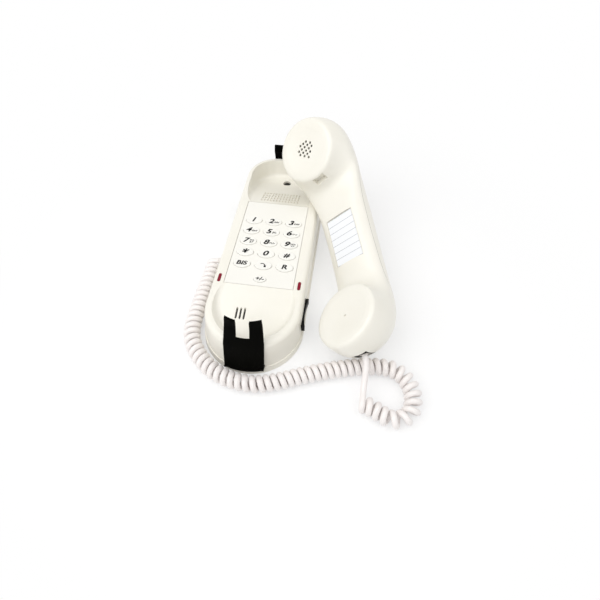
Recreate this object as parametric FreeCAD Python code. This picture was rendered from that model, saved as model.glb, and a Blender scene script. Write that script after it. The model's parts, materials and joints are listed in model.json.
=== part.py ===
import FreeCAD, Part
import math
import os
from FreeCAD import Placement, Rotation, Vector

# Corded desk and wall telephone with its handset lifted off and laid beside the base.
# Millimetres, +Z up. The origin is the middle of the flat underside of the base,
# +Y points to the earpiece cup and +X to the right of someone dialling.

# Base: outline at the rim, and how far the floor outline stands outside it
rim_half_width = 40.0
base_half_length = 118.0
upper_corner_radius = 30.0
rim_height = 28.0
side_flare = 2.5
lower_flare = 9.0
upper_flare = 3.0
rim_round = 5.0

# Base: walls of the two shells
shell_wall = 2.5
floor_thickness = 2.5
skirt_height = 5.0
skirt_ledge = 0.8

# Base: faceplate, cup for the earpiece and dish for the mouthpiece
deck_drop = 0.3
plate_half_width = 30.0
plate_upper_y = 44.0
plate_lower_y = -59.0
plate_thickness = 2.0
plate_gap = 0.35
plate_ledge = 2.0
ledge_thickness = 2.3
cup_half_width = 35.0
cup_end_y = 112.0
cup_corner_radius = 24.5
cup_flare_end_y = 72.0
cup_floor_height = 10.0
cup_floor_y = 96.0
cup_floor_round = 20.0
cup_wall_lean = 3.0
dish_half_width = 34.0
dish_fall = 0.215
dish_wall_lean = 8.0
dish_deep_height = 16.0
cove_radius = 5.0

# Base: holes in the upper shell
wall_hole_y = 97.0
wall_screw_radius = 2.5
wall_access_radius = 4.2
grille_rows = 4
grille_columns = 13
grille_row_pitch = 5.4
grille_column_pitch = 3.0
grille_slot_width = 1.3
grille_slot_length = 3.6
grille_centre_y = 59.0
voice_slot_count = 3
voice_slot_pitch = 3.3
voice_slot_width = 1.7
voice_slot_length = 10.0
voice_slot_x = -10.2
voice_slot_inset = 33.5

# Keys: four sizes for the oval caps and their places on the plate
column_pitch = 19.0
row_pitch = 13.6
first_row_y = 18.4
sign_key_y = -51.5
key_width = 15.2
key_height = 9.6
sign_key_width = 10.6
sign_key_height = 6.6
key_rise = 1.0
key_travel = 1.0
key_clearance = 0.35
key_flange = 0.9
key_flange_thickness = 1.0
key_crown = 0.5

# Parts inside the base
seat_gap = 0.3
mat_thickness = 1.0
board_thickness = 1.6
board_half_width = 27.0
board_ear_gap = 3.0
board_ear_length = 9.0
lamp_inset = 0.5
lamp_y = -54.4
lamp_width = 2.6
lamp_length = 8.8
lamp_slot_gap = 0.1
led_radius = 1.2
led_height = 2.6
screw_post_radius = 3.5
screw_post_inset = 1.1
screw_post_y = (-40.0, 30.0)
screw_post_split = 12.0
screw_radius = 1.25
screw_head_radius = 2.4
screw_head_height = 1.6
screw_length = 18.0
speaker_radius = 13.0
speaker_depth = 6.0
speaker_magnet_radius = 8.0
microphone_radius = 4.8
microphone_depth = 4.0
reed_radius = 1.3
reed_length = 15.0
reed_y = 34.0
foot_radius = 7.0
foot_depth = 1.2
foot_x = 27.0
foot_y = (-88.0, 88.0)

# Volume rocker on the right wall
rocker_y = -72.0
rocker_length = 28.0
rocker_z = 12.5
rocker_height = 8.0
rocker_reach = 2.2
rocker_dish = 1.7
rocker_thickness = 4.6
rocker_gap = 0.4
rocker_swing = 4.0
switch_depth = 6.0
switch_length = 20.0

# Line socket in the left wall
jack_y = 52.0
jack_z = 11.5
jack_width = 13.0
jack_height = 11.0
jack_depth = 15.0
socket_width = 9.7
socket_height = 6.8
socket_depth = 12.0

# Black retaining brackets at the two ends of the base
bracket_thickness = 2.0
bracket_half_width = 16.0
bracket_gap = 0.3
bracket_foot_length = 16.0
bracket_screw_x = 9.0
fork_tip_half_width = 14.0
fork_gap_half_width = 5.3
fork_crotch_height = 35.5
fork_lean = ((0.0, 0.0), (3.9, 8.5), (7.4, 17.0), (8.6, 23.5))
tab_lean = ((0.0, 0.0), (2.2, 8.0), (0.6, 14.0))

# Handset: measured along its own length, with its grip face in its XY plane
handset_reach = 161.4
ear_radius = 27.6
ear_face_height = 26.0
ear_tilt = 14.6
mouth_radius = 27.4
mouth_face_height = 27.8
mouth_tilt = 21.7
grip_half_width = 23.7
grip_depth = 26.6
section_count = 16
handset_wall = 2.5
parting_height = -9.0
face_round = 3.0
face_dish_radius = 21.0
face_dish_depth = 1.4
ear_hole_pitch = 4.0
ear_hole_radius = 1.15
ear_hole_shift = 1.7
mouth_hole_radius = 0.8
hook_slot_width = 12.2
hook_slot_height = 5.4
hook_slot_depth = 5.0
hook_slot_z = 14.2
card_width = 27.4
card_length = 45.6
card_y = -3.7
card_thickness = 0.5
card_recess_depth = 2.2
card_margin = 0.5
handset_screw_radius = 1.25
handset_screw_head_radius = 2.6
handset_screw_spread = 12.0
capsule_radius = 17.0
capsule_depth = 8.0
mouth_capsule_radius = 5.0
mouth_capsule_depth = 6.0
weight_length = 40.0
weight_width = 24.0
weight_height = 8.0
magnet_radius = 4.0
magnet_length = 4.0
handset_jack_width = 13.6
handset_jack_height = 8.6
handset_jack_depth = 12.0
handset_jack_z = 13.0
plug_width = 7.7
plug_height = 6.0
plug_depth = 10.0
plug_clearance = 0.15

# Handset: where it lies, leaning on the right rim with its mouth end on the table
handset_place = Vector(65.6, -2.7, 43.1)
handset_turn = 5.2
handset_roll = -45.0
handset_pitch = 19.3

# Curly cord: wire, curls and the route of the middle of the curls on the table
cord_diameter = 4.8
curl_radius = 4.7
curl_gap = 0.55
curl_sides = 4
cord_lift = 0.15
curl_route = (
    (94.5, -142.5), (101.5, -144.0), (109.0, -148.5), (117.0, -151.8), (125.0, -150.5),
    (131.5, -144.5), (133.5, -136.0), (132.5, -126.0), (127.0, -116.0), (117.5, -110.0),
    (103.0, -109.5), (84.0, -113.5), (63.0, -119.8), (44.0, -127.0), (27.0, -134.5),
    (9.0, -139.0), (-10.0, -137.0), (-26.0, -130.3), (-39.0, -119.5), (-48.5, -106.0),
    (-51.8, -90.0), (-51.6, -72.0), (-51.2, -54.0), (-50.8, -38.0), (-50.5, -24.0))
lead_run = 7.0
boot_length = 9.3
boot_small_radius = 2.8
boot_large_radius = 3.6
boot_collar = 1.6

deck_height = rim_height - deck_drop
lamp_x = (plate_half_width + rim_half_width) / 2 - lamp_inset
board_ear_half_width = rim_half_width - board_ear_gap
screw_post_x = (board_half_width + rim_half_width) / 2 - screw_post_inset
voice_slot_y = voice_slot_inset - base_half_length
plate_bottom = deck_height - plate_thickness
ledge_under = plate_bottom - ledge_thickness
mat_top = ledge_under - seat_gap
board_top = mat_top - mat_thickness
board_bottom = board_top - board_thickness
cup_fall = (deck_height - cup_floor_height) / (cup_floor_y - plate_upper_y)
far = 2 * base_half_length


def line(start, end):
    return Part.LineSegment(start, end).toShape()


def arc(start, middle, end):
    return Part.Arc(start, middle, end).toShape()


def box(x_low, x_high, y_low, y_high, z_low, z_high):
    corner = Vector(x_low, y_low, z_low)
    return Part.makeBox(x_high - x_low, y_high - y_low, z_high - z_low, corner)


def group(shapes):
    return Part.makeCompound(shapes)


def polygon_prism(points, direction):
    wire = Part.makePolygon(points + [points[0]])
    return Part.Face(wire).extrude(direction)


def side_prism(profile, half_width):
    """Solid with a (y, z) profile, drawn out to both sides of the middle plane."""
    points = [Vector(-half_width, y, z) for y, z in profile]
    return polygon_prism(points, Vector(2 * half_width, 0, 0))


def between(lower_wire, upper_wire):
    return Part.makeLoft([lower_wire, upper_wire], True, True)


def stadium(centre, length, width, height):
    """Slot-shaped prism lying along Y, standing up from its centre."""
    half = width / 2
    run = length / 2 - half
    x, y, z = centre
    right = (Vector(x + half, y - run, z), Vector(x + half, y + run, z))
    left = (Vector(x - half, y + run, z), Vector(x - half, y - run, z))
    edges = [line(*right), arc(right[1], Vector(x, y + run + half, z), left[0]),
             line(*left), arc(left[1], Vector(x, y - run - half, z), right[0])]
    return Part.Face(Part.Wire(edges)).extrude(Vector(0, 0, height))


def quarter(centre_x, centre_y, radius, angle, z):
    """Quarter circle that starts at an angle in degrees and turns to the left."""
    points = []
    for step in (0, 45, 90):
        turn = math.radians(angle + step)
        points.append(Vector(centre_x + radius * math.cos(turn), centre_y + radius * math.sin(turn), z))
    return arc(*points)


def base_outline(inset, z):
    """Plan of the base at a height: round lower end, rounded corners at the upper end."""
    depth = (rim_height - z) / rim_height
    half = rim_half_width + side_flare * depth - inset
    lower = -(base_half_length + lower_flare * depth - inset)
    upper = base_half_length + upper_flare * depth - inset
    corner = upper_corner_radius + side_flare * depth - inset
    centre = lower + half
    edges = [arc(Vector(-half, centre, z), Vector(0, lower, z), Vector(half, centre, z)),
             line(Vector(half, centre, z), Vector(half, upper - corner, z)),
             quarter(half - corner, upper - corner, corner, 0, z),
             line(Vector(half - corner, upper, z), Vector(corner - half, upper, z)),
             quarter(corner - half, upper - corner, corner, 90, z),
             line(Vector(-half, upper - corner, z), Vector(-half, centre, z))]
    return Part.Wire(edges)


def flare(narrow, wide, start_y, end_y, z):
    """Arc from a narrow half width to a wide one, where it runs along Y."""
    across = wide - narrow
    along = end_y - start_y
    radius = (across ** 2 + along ** 2) / (2 * across)
    turn = math.asin(along / radius) / 2
    middle = Vector(wide - radius + radius * math.cos(turn), end_y - radius * math.sin(turn), z)
    return Vector(narrow, start_y, z), middle, Vector(wide, end_y, z)


def mirrored(points):
    return [Vector(-p.x, p.y, p.z) for p in reversed(points)]


def cup_outline(inset, z):
    half = cup_half_width - inset
    end = cup_end_y - inset
    corner = cup_corner_radius - inset
    side = flare(plate_half_width - inset, half, plate_upper_y, cup_flare_end_y, z)
    edges = [line(Vector(-side[0].x, side[0].y, z), side[0]), arc(*side),
             line(side[2], Vector(half, end - corner, z)),
             quarter(half - corner, end - corner, corner, 0, z),
             line(Vector(half - corner, end, z), Vector(corner - half, end, z)),
             quarter(corner - half, end - corner, corner, 90, z),
             line(Vector(-half, end - corner, z), Vector(-side[2].x, side[2].y, z)),
             arc(*mirrored(side))]
    return Part.Wire(edges)


def dish_outline(inset, z):
    half = dish_half_width - inset
    centre = rim_half_width - base_half_length
    side = flare(plate_half_width - inset, half, plate_lower_y, centre, z)
    edges = [line(Vector(side[0].x, side[0].y, z), Vector(-side[0].x, side[0].y, z)),
             arc(*reversed(mirrored(side))),
             arc(Vector(-half, centre, z), Vector(0, centre - half, z), Vector(half, centre, z)),
             arc(*reversed(side))]
    return Part.Wire(edges)


def floor_edges(shape, floor_at, end_y):
    """Edges where the walls of a hollow stand on its floor."""
    found = []
    for edge in shape.Edges:
        first, last = edge.ParameterRange
        points = [edge.valueAt(first + (last - first) * share) for share in (0.0, 0.3, 0.5, 0.7, 1.0)]
        low = all(abs(p.z - floor_at(p.y)) < rim_round / 4 for p in points)
        across = max(p.y for p in points) - min(p.y for p in points) < 0.01
        if low and (not across or points[0].y > end_y):
            found.append(edge)
    return found


def cup_floor_at(y):
    return max(cup_floor_height, deck_height - (y - plate_upper_y) * cup_fall)


def dish_floor_at(y):
    return deck_height - (plate_lower_y - y) * dish_fall


def cup_hollow():
    """Deep cup whose floor ramps up to the faceplate, with leaning walls and a coved foot."""
    above = rim_height + rim_round
    lean = cup_wall_lean / (rim_height - cup_floor_height)
    walls = between(cup_outline(cup_wall_lean + lean, cup_floor_height - 1.0),
                    cup_outline(-rim_round * lean, above))
    floor = side_prism([(plate_upper_y, deck_height), (cup_floor_y, cup_floor_height),
                        (far, cup_floor_height), (far, above), (plate_upper_y, above)], far)
    crease = [edge for edge in floor.Edges
              if edge.BoundBox.YLength < 0.01 and abs(edge.BoundBox.YMin - cup_floor_y) < 0.01]
    hollow = walls.common(floor.makeFillet(cup_floor_round, crease))
    return hollow.makeFillet(cove_radius, floor_edges(hollow, cup_floor_at, cup_end_y - 2 * cove_radius))


def dish_hollow():
    """Shallow dish that falls away from the faceplate to the round lower end."""
    above = rim_height + rim_round
    lean = dish_wall_lean / (rim_height - dish_deep_height)
    walls = between(dish_outline(dish_wall_lean, dish_deep_height),
                    dish_outline(-rim_round * lean, above))
    floor = side_prism([(plate_lower_y, deck_height), (-far, dish_floor_at(-far)),
                        (-far, above), (plate_lower_y, above)], far)
    hollow = walls.common(floor)
    return hollow.makeFillet(cove_radius, floor_edges(hollow, dish_floor_at, plate_upper_y))


def inner_ceiling():
    """Everything under the cup, the faceplate ledge and the dish, less one wall."""
    low = skirt_height - 1.0
    dish_meets = plate_lower_y - (deck_height - shell_wall - ledge_under) / dish_fall
    cup_meets = plate_upper_y + (deck_height - shell_wall - ledge_under) / cup_fall
    cup_low = cup_floor_height - shell_wall
    return side_prism([(-far, low), (-far, dish_floor_at(-base_half_length) - shell_wall),
                       (-base_half_length, dish_floor_at(-base_half_length) - shell_wall),
                       (dish_meets, ledge_under), (cup_meets, ledge_under),
                       (cup_floor_y, cup_low), (far, cup_low), (far, low)], far)


def grille_slots():
    slots = []
    for row in range(grille_rows):
        for column in range(grille_columns):
            x = (column - (grille_columns - 1) / 2) * grille_column_pitch
            y = grille_centre_y + (row - (grille_rows - 1) / 2) * grille_row_pitch
            low = cup_floor_at(y) - 2 * shell_wall
            half_width = grille_slot_width / 2
            half_length = grille_slot_length / 2
            slots.append(box(x - half_width, x + half_width, y - half_length, y + half_length,
                             low, deck_height))
    return slots


def voice_slots():
    slots = []
    for index in range(voice_slot_count):
        x = voice_slot_x + (index - (voice_slot_count - 1) / 2) * voice_slot_pitch
        low = dish_floor_at(voice_slot_y) - 2 * shell_wall
        slots.append(stadium((x, voice_slot_y, low), voice_slot_length, voice_slot_width, 3 * shell_wall))
    return slots


def screw_posts():
    return [(side * screw_post_x, y) for side in (-1, 1) for y in screw_post_y]


def post(x, y, radius, low, high):
    return Part.makeCylinder(radius, high - low, Vector(x, y, low))


def bracket_slot(side):
    """Gap between the two shells for a bracket's foot, side -1 lower and 1 upper."""
    half = bracket_half_width + bracket_gap
    reach = base_half_length + lower_flare
    ends = sorted((side * (base_half_length - bracket_foot_length - bracket_gap), side * reach))
    return box(-half, half, ends[0], ends[1], skirt_height, skirt_height + bracket_thickness + bracket_gap)


def rocker_window():
    half = rocker_length / 2 + rocker_gap
    rise = rocker_height / 2 + rocker_gap
    return box(rim_half_width - 6.0, far, rocker_y - half, rocker_y + half,
               rocker_z - rise, rocker_z + rise)


def jack_window():
    half = jack_width / 2 + plate_gap
    rise = jack_height / 2 + plate_gap
    return box(-far, -(rim_half_width - 6.0), jack_y - half, jack_y + half,
               jack_z - rise, jack_z + rise)


def boot_hole():
    foot, way = cord_exit()
    return Part.makeCylinder(boot_large_radius + plate_gap, 3 * boot_length, foot, way)


def base_upper_shell():
    body = between(base_outline(skirt_ledge, skirt_height), base_outline(0, rim_height))
    rim = [edge for edge in body.Edges if edge.BoundBox.ZMin > rim_height - 0.01]
    body = body.makeFillet(rim_round, rim)
    inside = between(base_outline(skirt_ledge + shell_wall, skirt_height - 1.0),
                     base_outline(shell_wall, rim_height)).common(inner_ceiling())
    recess = box(-plate_half_width, plate_half_width, plate_lower_y, plate_upper_y,
                 plate_bottom, rim_height + 2.0)
    window = box(plate_ledge - plate_half_width, plate_half_width - plate_ledge,
                 plate_lower_y + plate_ledge, plate_upper_y - plate_ledge, ledge_under - 1.0, rim_height)
    body = body.cut([cup_hollow(), dish_hollow(), recess, window])
    posts = [post(x, y, screw_post_radius, screw_post_split, ledge_under + 0.5) for x, y in screw_posts()]
    body = body.cut(inside).fuse(posts)
    lamps = [stadium((side * lamp_x, lamp_y, ledge_under - 1.0), lamp_length + 2 * lamp_slot_gap,
                     lamp_width + 2 * lamp_slot_gap, rim_height) for side in (-1, 1)]
    pilot_holes = [post(x, y, screw_radius + 0.1, screw_post_split - 1.0, screw_length + screw_head_height + 1.0)
                   for x, y in screw_posts()]
    access = post(0, wall_hole_y, wall_access_radius, skirt_height, rim_height)
    return body.cut(lamps + pilot_holes + grille_slots() + voice_slots()
                    + [access, rocker_window(), jack_window(), boot_hole(), bracket_slot(-1), bracket_slot(1)])


def board_posts():
    x = board_half_width - screw_post_radius
    return [(side * x, y) for side in (-1, 1) for y in (plate_lower_y + 12.0, plate_upper_y - 12.0)]


def bracket_screw_places(side):
    y = side * (base_half_length - bracket_foot_length / 2 - shell_wall)
    return [(x, y) for x in (-bracket_screw_x, bracket_screw_x)]


def base_lower_shell():
    body = between(base_outline(0, 0), base_outline(0, skirt_height))
    hollow = between(base_outline(shell_wall + skirt_ledge, floor_thickness),
                     base_outline(shell_wall + skirt_ledge, skirt_height + 1.0))
    body = body.cut(hollow)
    posts = [post(x, y, screw_post_radius, floor_thickness - 0.5, screw_post_split) for x, y in screw_posts()]
    posts += [post(x, y, screw_post_radius, floor_thickness - 0.5, board_bottom) for x, y in board_posts()]
    for side in (-1, 1):
        posts += [post(x, y, screw_post_radius, floor_thickness - 0.5, skirt_height)
                  for x, y in bracket_screw_places(side)]
    posts.append(box(rim_half_width - shell_wall - switch_depth - rocker_thickness,
                     rim_half_width - shell_wall - rocker_thickness,
                     rocker_y - switch_length / 2, rocker_y + switch_length / 2,
                     floor_thickness - 0.5, rocker_z - rocker_height / 2))
    posts.append(box(-(rim_half_width - shell_wall), jack_depth - rim_half_width, jack_y - jack_width / 2,
                     jack_y + jack_width / 2, floor_thickness - 0.5, jack_z - jack_height / 2))
    body = body.fuse(posts)
    pockets = [post(x, y, foot_radius, -1.0, foot_depth) for x in (-foot_x, foot_x) for y in foot_y]
    heads = [post(x, y, screw_head_radius + plate_gap, -1.0, screw_head_height + 1.0) for x, y in screw_posts()]
    shanks = [post(x, y, screw_radius + plate_gap, 0, screw_post_split + 1.0) for x, y in screw_posts()]
    pilots = [post(x, y, screw_radius + 0.1, floor_thickness, skirt_height + 1.0)
              for side in (-1, 1) for x, y in bracket_screw_places(side)]
    return body.cut(pockets + heads + shanks + pilots + [post(0, wall_hole_y, wall_screw_radius, -1.0, skirt_height)])


def keypad_faceplate():
    inset = plate_gap
    plate = box(inset - plate_half_width, plate_half_width - inset, plate_lower_y + inset,
                plate_upper_y - inset, plate_bottom, deck_height)
    holes = []
    for x, y, width, height in key_places().values():
        holes.append(oval(x, y, width + 2 * key_clearance, height + 2 * key_clearance,
                          plate_bottom - 1.0, deck_height + 1.0))
    return plate.cut(holes)


def oval(x, y, width, height, low, high):
    """Oval prism with a rim of four tangent arcs: two small ones at the tips, two broad ones between."""
    half = width / 2
    rise = height / 2
    tip = rise * 2 / 3
    broad = ((half - tip) ** 2 + rise ** 2 - tip ** 2) / (2 * (rise - tip))
    across = (half - tip) * broad / (broad - tip)
    up = tip * (broad - rise) / (broad - tip)
    right_low = Vector(x + across, y - up, low)
    right_high = Vector(x + across, y + up, low)
    left_high = Vector(x - across, y + up, low)
    left_low = Vector(x - across, y - up, low)
    edges = [arc(right_low, Vector(x + half, y, low), right_high),
             arc(right_high, Vector(x, y + rise, low), left_high),
             arc(left_high, Vector(x - half, y, low), left_low),
             arc(left_low, Vector(x, y - rise, low), right_low)]
    return Part.Face(Part.Wire(edges)).extrude(Vector(0, 0, high - low))


def key_places():
    """Centre and size of each key: a grid of three columns, and one small key below it."""
    rows = (("1", "2", "3"), ("4", "5", "6"), ("7", "8", "9"),
            ("star", "0", "hash"), ("redial", "mute", "recall"))
    places = {}
    for row, names in enumerate(rows):
        for column, name in enumerate(names):
            places["key_" + name] = ((column - 1) * column_pitch, first_row_y - row * row_pitch,
                                     key_width, key_height)
    places["key_sign"] = (0.0, sign_key_y, sign_key_width, sign_key_height)
    return places


def key_cap(x, y, width, height):
    """Oval cap with a rounded top, and a flange that holds it under the faceplate."""
    flange_top = plate_bottom - seat_gap
    top = deck_height + key_rise
    stem = oval(x, y, width, height, flange_top - key_flange_thickness, top)
    crown = [edge for edge in stem.Edges if edge.BoundBox.ZMin > top - 0.01]
    stem = stem.makeFillet(key_crown, crown)
    flange = oval(x, y, width + 2 * key_flange, height + 2 * key_flange,
                  flange_top - key_flange_thickness, flange_top)
    return stem.fuse(flange).removeSplitter()


def keypad_mat():
    return box(-board_half_width, board_half_width, plate_lower_y + seat_gap, plate_upper_y - seat_gap,
               board_top, mat_top)


def main_board():
    board = box(-board_half_width, board_half_width, plate_lower_y + seat_gap, plate_upper_y - seat_gap,
                board_bottom, board_top)
    ears = box(-board_ear_half_width, board_ear_half_width, lamp_y - board_ear_length / 2,
               lamp_y + board_ear_length / 2, board_bottom, board_top)
    return board.fuse(ears).removeSplitter()


def lamp_lens(side):
    low = board_top + led_height + seat_gap
    return stadium((side * lamp_x, lamp_y, low), lamp_length, lamp_width, rim_height + 0.2 - low)


def lamp_leds():
    leds = []
    for side in (-1, 1):
        can = post(side * lamp_x, lamp_y, led_radius, board_top, board_top + led_height - led_radius)
        dome = Part.makeSphere(led_radius, Vector(side * lamp_x, lamp_y, board_top + led_height - led_radius))
        leds.append(can.fuse(dome))
    return group(leds)


def reed_switch():
    x = -reed_length / 2
    return Part.makeCylinder(reed_radius, reed_length, Vector(x, reed_y, board_bottom - reed_radius), Vector(1, 0, 0))


def ringer_speaker():
    """Loudspeaker tipped to lie along the ramp of the cup, rim first and magnet behind."""
    fall = math.atan(cup_fall)
    down = Vector(0, -math.sin(fall), -math.cos(fall))
    middle_y = plate_upper_y + speaker_radius + 2 * shell_wall + 1.0
    seat = Vector(0, middle_y, cup_floor_at(middle_y) - shell_wall)
    front = seat + down * seat_gap
    rim_depth = speaker_depth / 2
    frame = Part.makeCylinder(speaker_radius, rim_depth, front, down)
    basket = Part.makeCone(speaker_radius - 1.0, speaker_magnet_radius, rim_depth, front + down * rim_depth, down)
    magnet = Part.makeCylinder(speaker_magnet_radius, rim_depth, front + down * (2 * rim_depth), down)
    return frame.fuse([basket, magnet])


def base_microphone():
    fall = math.atan(dish_fall)
    down = Vector(0, math.sin(fall), -math.cos(fall))
    seat = Vector(voice_slot_x, voice_slot_y, dish_floor_at(voice_slot_y) - shell_wall)
    return Part.makeCylinder(microphone_radius, microphone_depth, seat + down * seat_gap, down)


def foot_pads():
    return group([post(x, y, foot_radius - plate_gap, 0, foot_depth) for x in (-foot_x, foot_x) for y in foot_y])


def screw(x, y, head_low, radius, head_radius, head_height, length):
    head = post(x, y, head_radius, head_low, head_low + head_height)
    return head.fuse(post(x, y, radius, head_low, head_low + head_height + length))


def base_screws():
    return group([screw(x, y, 1.0, screw_radius, screw_head_radius, screw_head_height, screw_length)
                  for x, y in screw_posts()])


def volume_rocker():
    """Finger rocker with a hollowed face and a rib behind that rocks on the switch."""
    outer = rim_half_width + side_flare * (1 - rocker_z / rim_height) + rocker_reach
    inner = outer - rocker_reach - rocker_thickness
    half = rocker_length / 2
    face = [Vector(inner, rocker_y - half, 0), Vector(outer, rocker_y - half, 0),
            Vector(outer - rocker_dish, rocker_y, 0), Vector(outer, rocker_y + half, 0),
            Vector(inner, rocker_y + half, 0)]
    edges = [line(face[0], face[1]), arc(face[1], face[2], face[3]), line(face[3], face[4]), line(face[4], face[0])]
    low = Vector(0, 0, rocker_z - rocker_height / 2)
    cap = Part.Face(Part.Wire(edges)).extrude(Vector(0, 0, rocker_height))
    cap.translate(low)
    return cap


def rocker_pivot():
    outer = rim_half_width + side_flare * (1 - rocker_z / rim_height)
    return Vector(outer - rocker_thickness, rocker_y, rocker_z)


def volume_switch():
    """Contact block behind the rocker, with a rounded nose at its middle."""
    back = rocker_pivot().x
    nose = 2 * seat_gap + math.sin(math.radians(rocker_swing)) * rocker_length / 2
    block = box(back - nose - switch_depth, back - nose, rocker_y - switch_length / 2,
                rocker_y + switch_length / 2, rocker_z - rocker_height / 2, rocker_z + rocker_height / 2)
    bump = Part.makeCylinder(nose - seat_gap, rocker_height - 2.0,
                             Vector(back - nose, rocker_y, rocker_z - rocker_height / 2 + 1.0))
    return block.fuse(bump)


def line_jack():
    front = -(rim_half_width + 0.5)
    body = box(front, front + jack_depth, jack_y - jack_width / 2, jack_y + jack_width / 2,
               jack_z - jack_height / 2, jack_z + jack_height / 2)
    socket = box(front - 1.0, front + socket_depth, jack_y - socket_width / 2, jack_y + socket_width / 2,
                 jack_z - socket_height / 2, jack_z + socket_height / 2)
    latch = box(front - 1.0, front + socket_depth, jack_y - socket_width / 6, jack_y + socket_width / 6,
                jack_z + socket_height / 2, jack_z + socket_height / 2 + 1.2)
    return body.cut([socket, latch])


def thick_profile(points, thickness, outward):
    """Closed profile of a bent strip: its inner line, and the same line moved outwards."""
    outer = [(r + outward * thickness, z) for r, z in reversed(points)]
    return points + outer


def bracket_line(end, flare_out, lean):
    """Inner line of a bracket: up the wall of the base, then leaning in above the rim."""
    foot = skirt_height
    wall_foot = end + flare_out * (1 - foot / rim_height) + bracket_gap
    line_points = [(wall_foot, foot)]
    top = end + bracket_gap
    line_points += [(top - inward, rim_height + rise) for inward, rise in lean]
    return line_points


def bracket_holes(side):
    return [countersunk(x, y, skirt_height - 1.0, 0.15) for x, y in bracket_screw_places(side)]


def countersunk(x, y, low, clearance):
    """Countersunk screw flush with the top of a bracket's foot, or the hole for it."""
    top = skirt_height + bracket_thickness
    sink = bracket_thickness - 0.6
    head = Part.makeCone(screw_radius + clearance, screw_head_radius + clearance, sink, Vector(x, y, top - sink))
    return head.fuse(post(x, y, screw_radius + clearance, low, top))


def bracket_foot(side):
    reach = base_half_length + (lower_flare if side < 0 else upper_flare) * (1 - skirt_height / rim_height)
    ends = sorted((side * (base_half_length - bracket_foot_length), side * (reach + bracket_gap)))
    return box(-bracket_half_width, bracket_half_width, ends[0], ends[1],
               skirt_height, skirt_height + bracket_thickness)


def lower_bracket():
    """Fork bent round the lower end, with a gap for the cord between its two prongs."""
    axis_y = rim_half_width - base_half_length
    inner = bracket_line(rim_half_width, lower_flare, fork_lean)
    profile = thick_profile(inner, bracket_thickness, 1)
    points = [Vector(0, axis_y - r, z) for r, z in profile]
    face = Part.Face(Part.makePolygon(points + [points[0]]))
    sweep = 60.0
    face.rotate(Vector(0, axis_y, 0), Vector(0, 0, 1), -sweep / 2)
    shell = face.revolve(Vector(0, axis_y, 0), Vector(0, 0, 1), sweep)
    tip = rim_height + fork_lean[-1][1]
    half = bracket_half_width
    blank = [Vector(-half, -far, skirt_height), Vector(half, -far, skirt_height), Vector(half, -far, rim_height),
             Vector(fork_tip_half_width, -far, tip), Vector(-fork_tip_half_width, -far, tip),
             Vector(-half, -far, rim_height)]
    plate = shell.common(polygon_prism(blank, Vector(0, 2 * far, 0)))
    gap = box(-fork_gap_half_width, fork_gap_half_width, -far, 0, fork_crotch_height, tip + 1.0)
    return plate.cut(gap).fuse(bracket_foot(-1)).cut(bracket_holes(-1))


def upper_bracket():
    """Tab bent up behind the upper end of the base."""
    inner = bracket_line(base_half_length, upper_flare, tab_lean)
    plate = side_prism(thick_profile(inner, bracket_thickness, 1), bracket_half_width)
    return plate.fuse(bracket_foot(1)).cut(bracket_holes(1))


def bracket_screws():
    return group([countersunk(x, y, floor_thickness + 0.2, 0)
                  for side in (-1, 1) for x, y in bracket_screw_places(side)])


def handset_placement():
    turn = Rotation(handset_turn, handset_roll, handset_pitch)
    return Placement(handset_place, turn)


def placed(shape):
    moved = shape.copy()
    moved.Placement = handset_placement().multiply(moved.Placement)
    return moved


def face_frame(end):
    """Centre, outward normal and radius of the ear face (end 1) or mouth face (end -1)."""
    if end > 0:
        tilt = math.radians(ear_tilt)
        return Vector(0, handset_reach / 2, ear_face_height), Vector(0, -math.sin(tilt), math.cos(tilt)), ear_radius
    tilt = math.radians(mouth_tilt)
    return Vector(0, -handset_reach / 2, mouth_face_height), Vector(0, math.sin(tilt), math.cos(tilt)), mouth_radius


def handset_stations():
    """Cross-sections from the ear face, along the grip, to the mouth face.

    Each has its inner point, its outer point, its half width and how square it is. The
    sections fan round the throat behind each face and turn square to the grip between."""
    ear, ear_normal, _ = face_frame(1)
    mouth, mouth_normal, _ = face_frame(-1)
    ear_across = Vector(0, ear_normal.z, -ear_normal.y) * ear_radius
    mouth_across = Vector(0, -mouth_normal.z, mouth_normal.y) * mouth_radius
    back = -grip_depth
    return [(ear - ear_across, ear + ear_across, ear_radius, 2.0),
            (Vector(0, ear.y - 28.2, 10.5), Vector(0, ear.y + 32.5, 23.0), ear_radius + 3.8, 2.0),
            (Vector(0, ear.y - 30.7, 4.0), Vector(0, ear.y + 33.3, 10.0), ear_radius + 5.8, 2.1),
            (Vector(0, ear.y - 35.7, 1.0), Vector(0, ear.y + 25.4, -5.0), ear_radius + 4.5, 2.2),
            (Vector(0, ear.y - 42.7, 0.0), Vector(0, ear.y + 9.5, back + 11.4), ear_radius + 2.4, 2.3),
            (Vector(0, ear.y - 52.7, 0.0), Vector(0, ear.y - 17.4, back + 3.4), grip_half_width + 2.7, 2.5),
            (Vector(0, 12.0, 0.0), Vector(0, 25.0, back), grip_half_width + 0.7, 2.6),
            (Vector(0, -5.0, 0.0), Vector(0, -6.4, back + 0.3), grip_half_width, 2.6),
            (Vector(0, -22.0, 0.0), Vector(0, -37.7, back + 2.3), grip_half_width - 0.2, 2.6),
            (Vector(0, mouth.y + 44.7, 0.0), Vector(0, mouth.y + 9.3, back + 5.4), grip_half_width + 0.6, 2.4),
            (Vector(0, mouth.y + 35.7, 0.5), Vector(0, mouth.y - 14.6, -12.6), mouth_radius - 0.8, 2.3),
            (Vector(0, mouth.y + 29.7, 4.0), Vector(0, mouth.y - 28.2, 0.0), mouth_radius + 0.9, 2.1),
            (Vector(0, mouth.y + 26.2, 10.0), Vector(0, mouth.y - 32.7, 17.0), mouth_radius + 1.3, 2.0),
            (mouth - mouth_across, mouth + mouth_across, mouth_radius, 2.0)]


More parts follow.
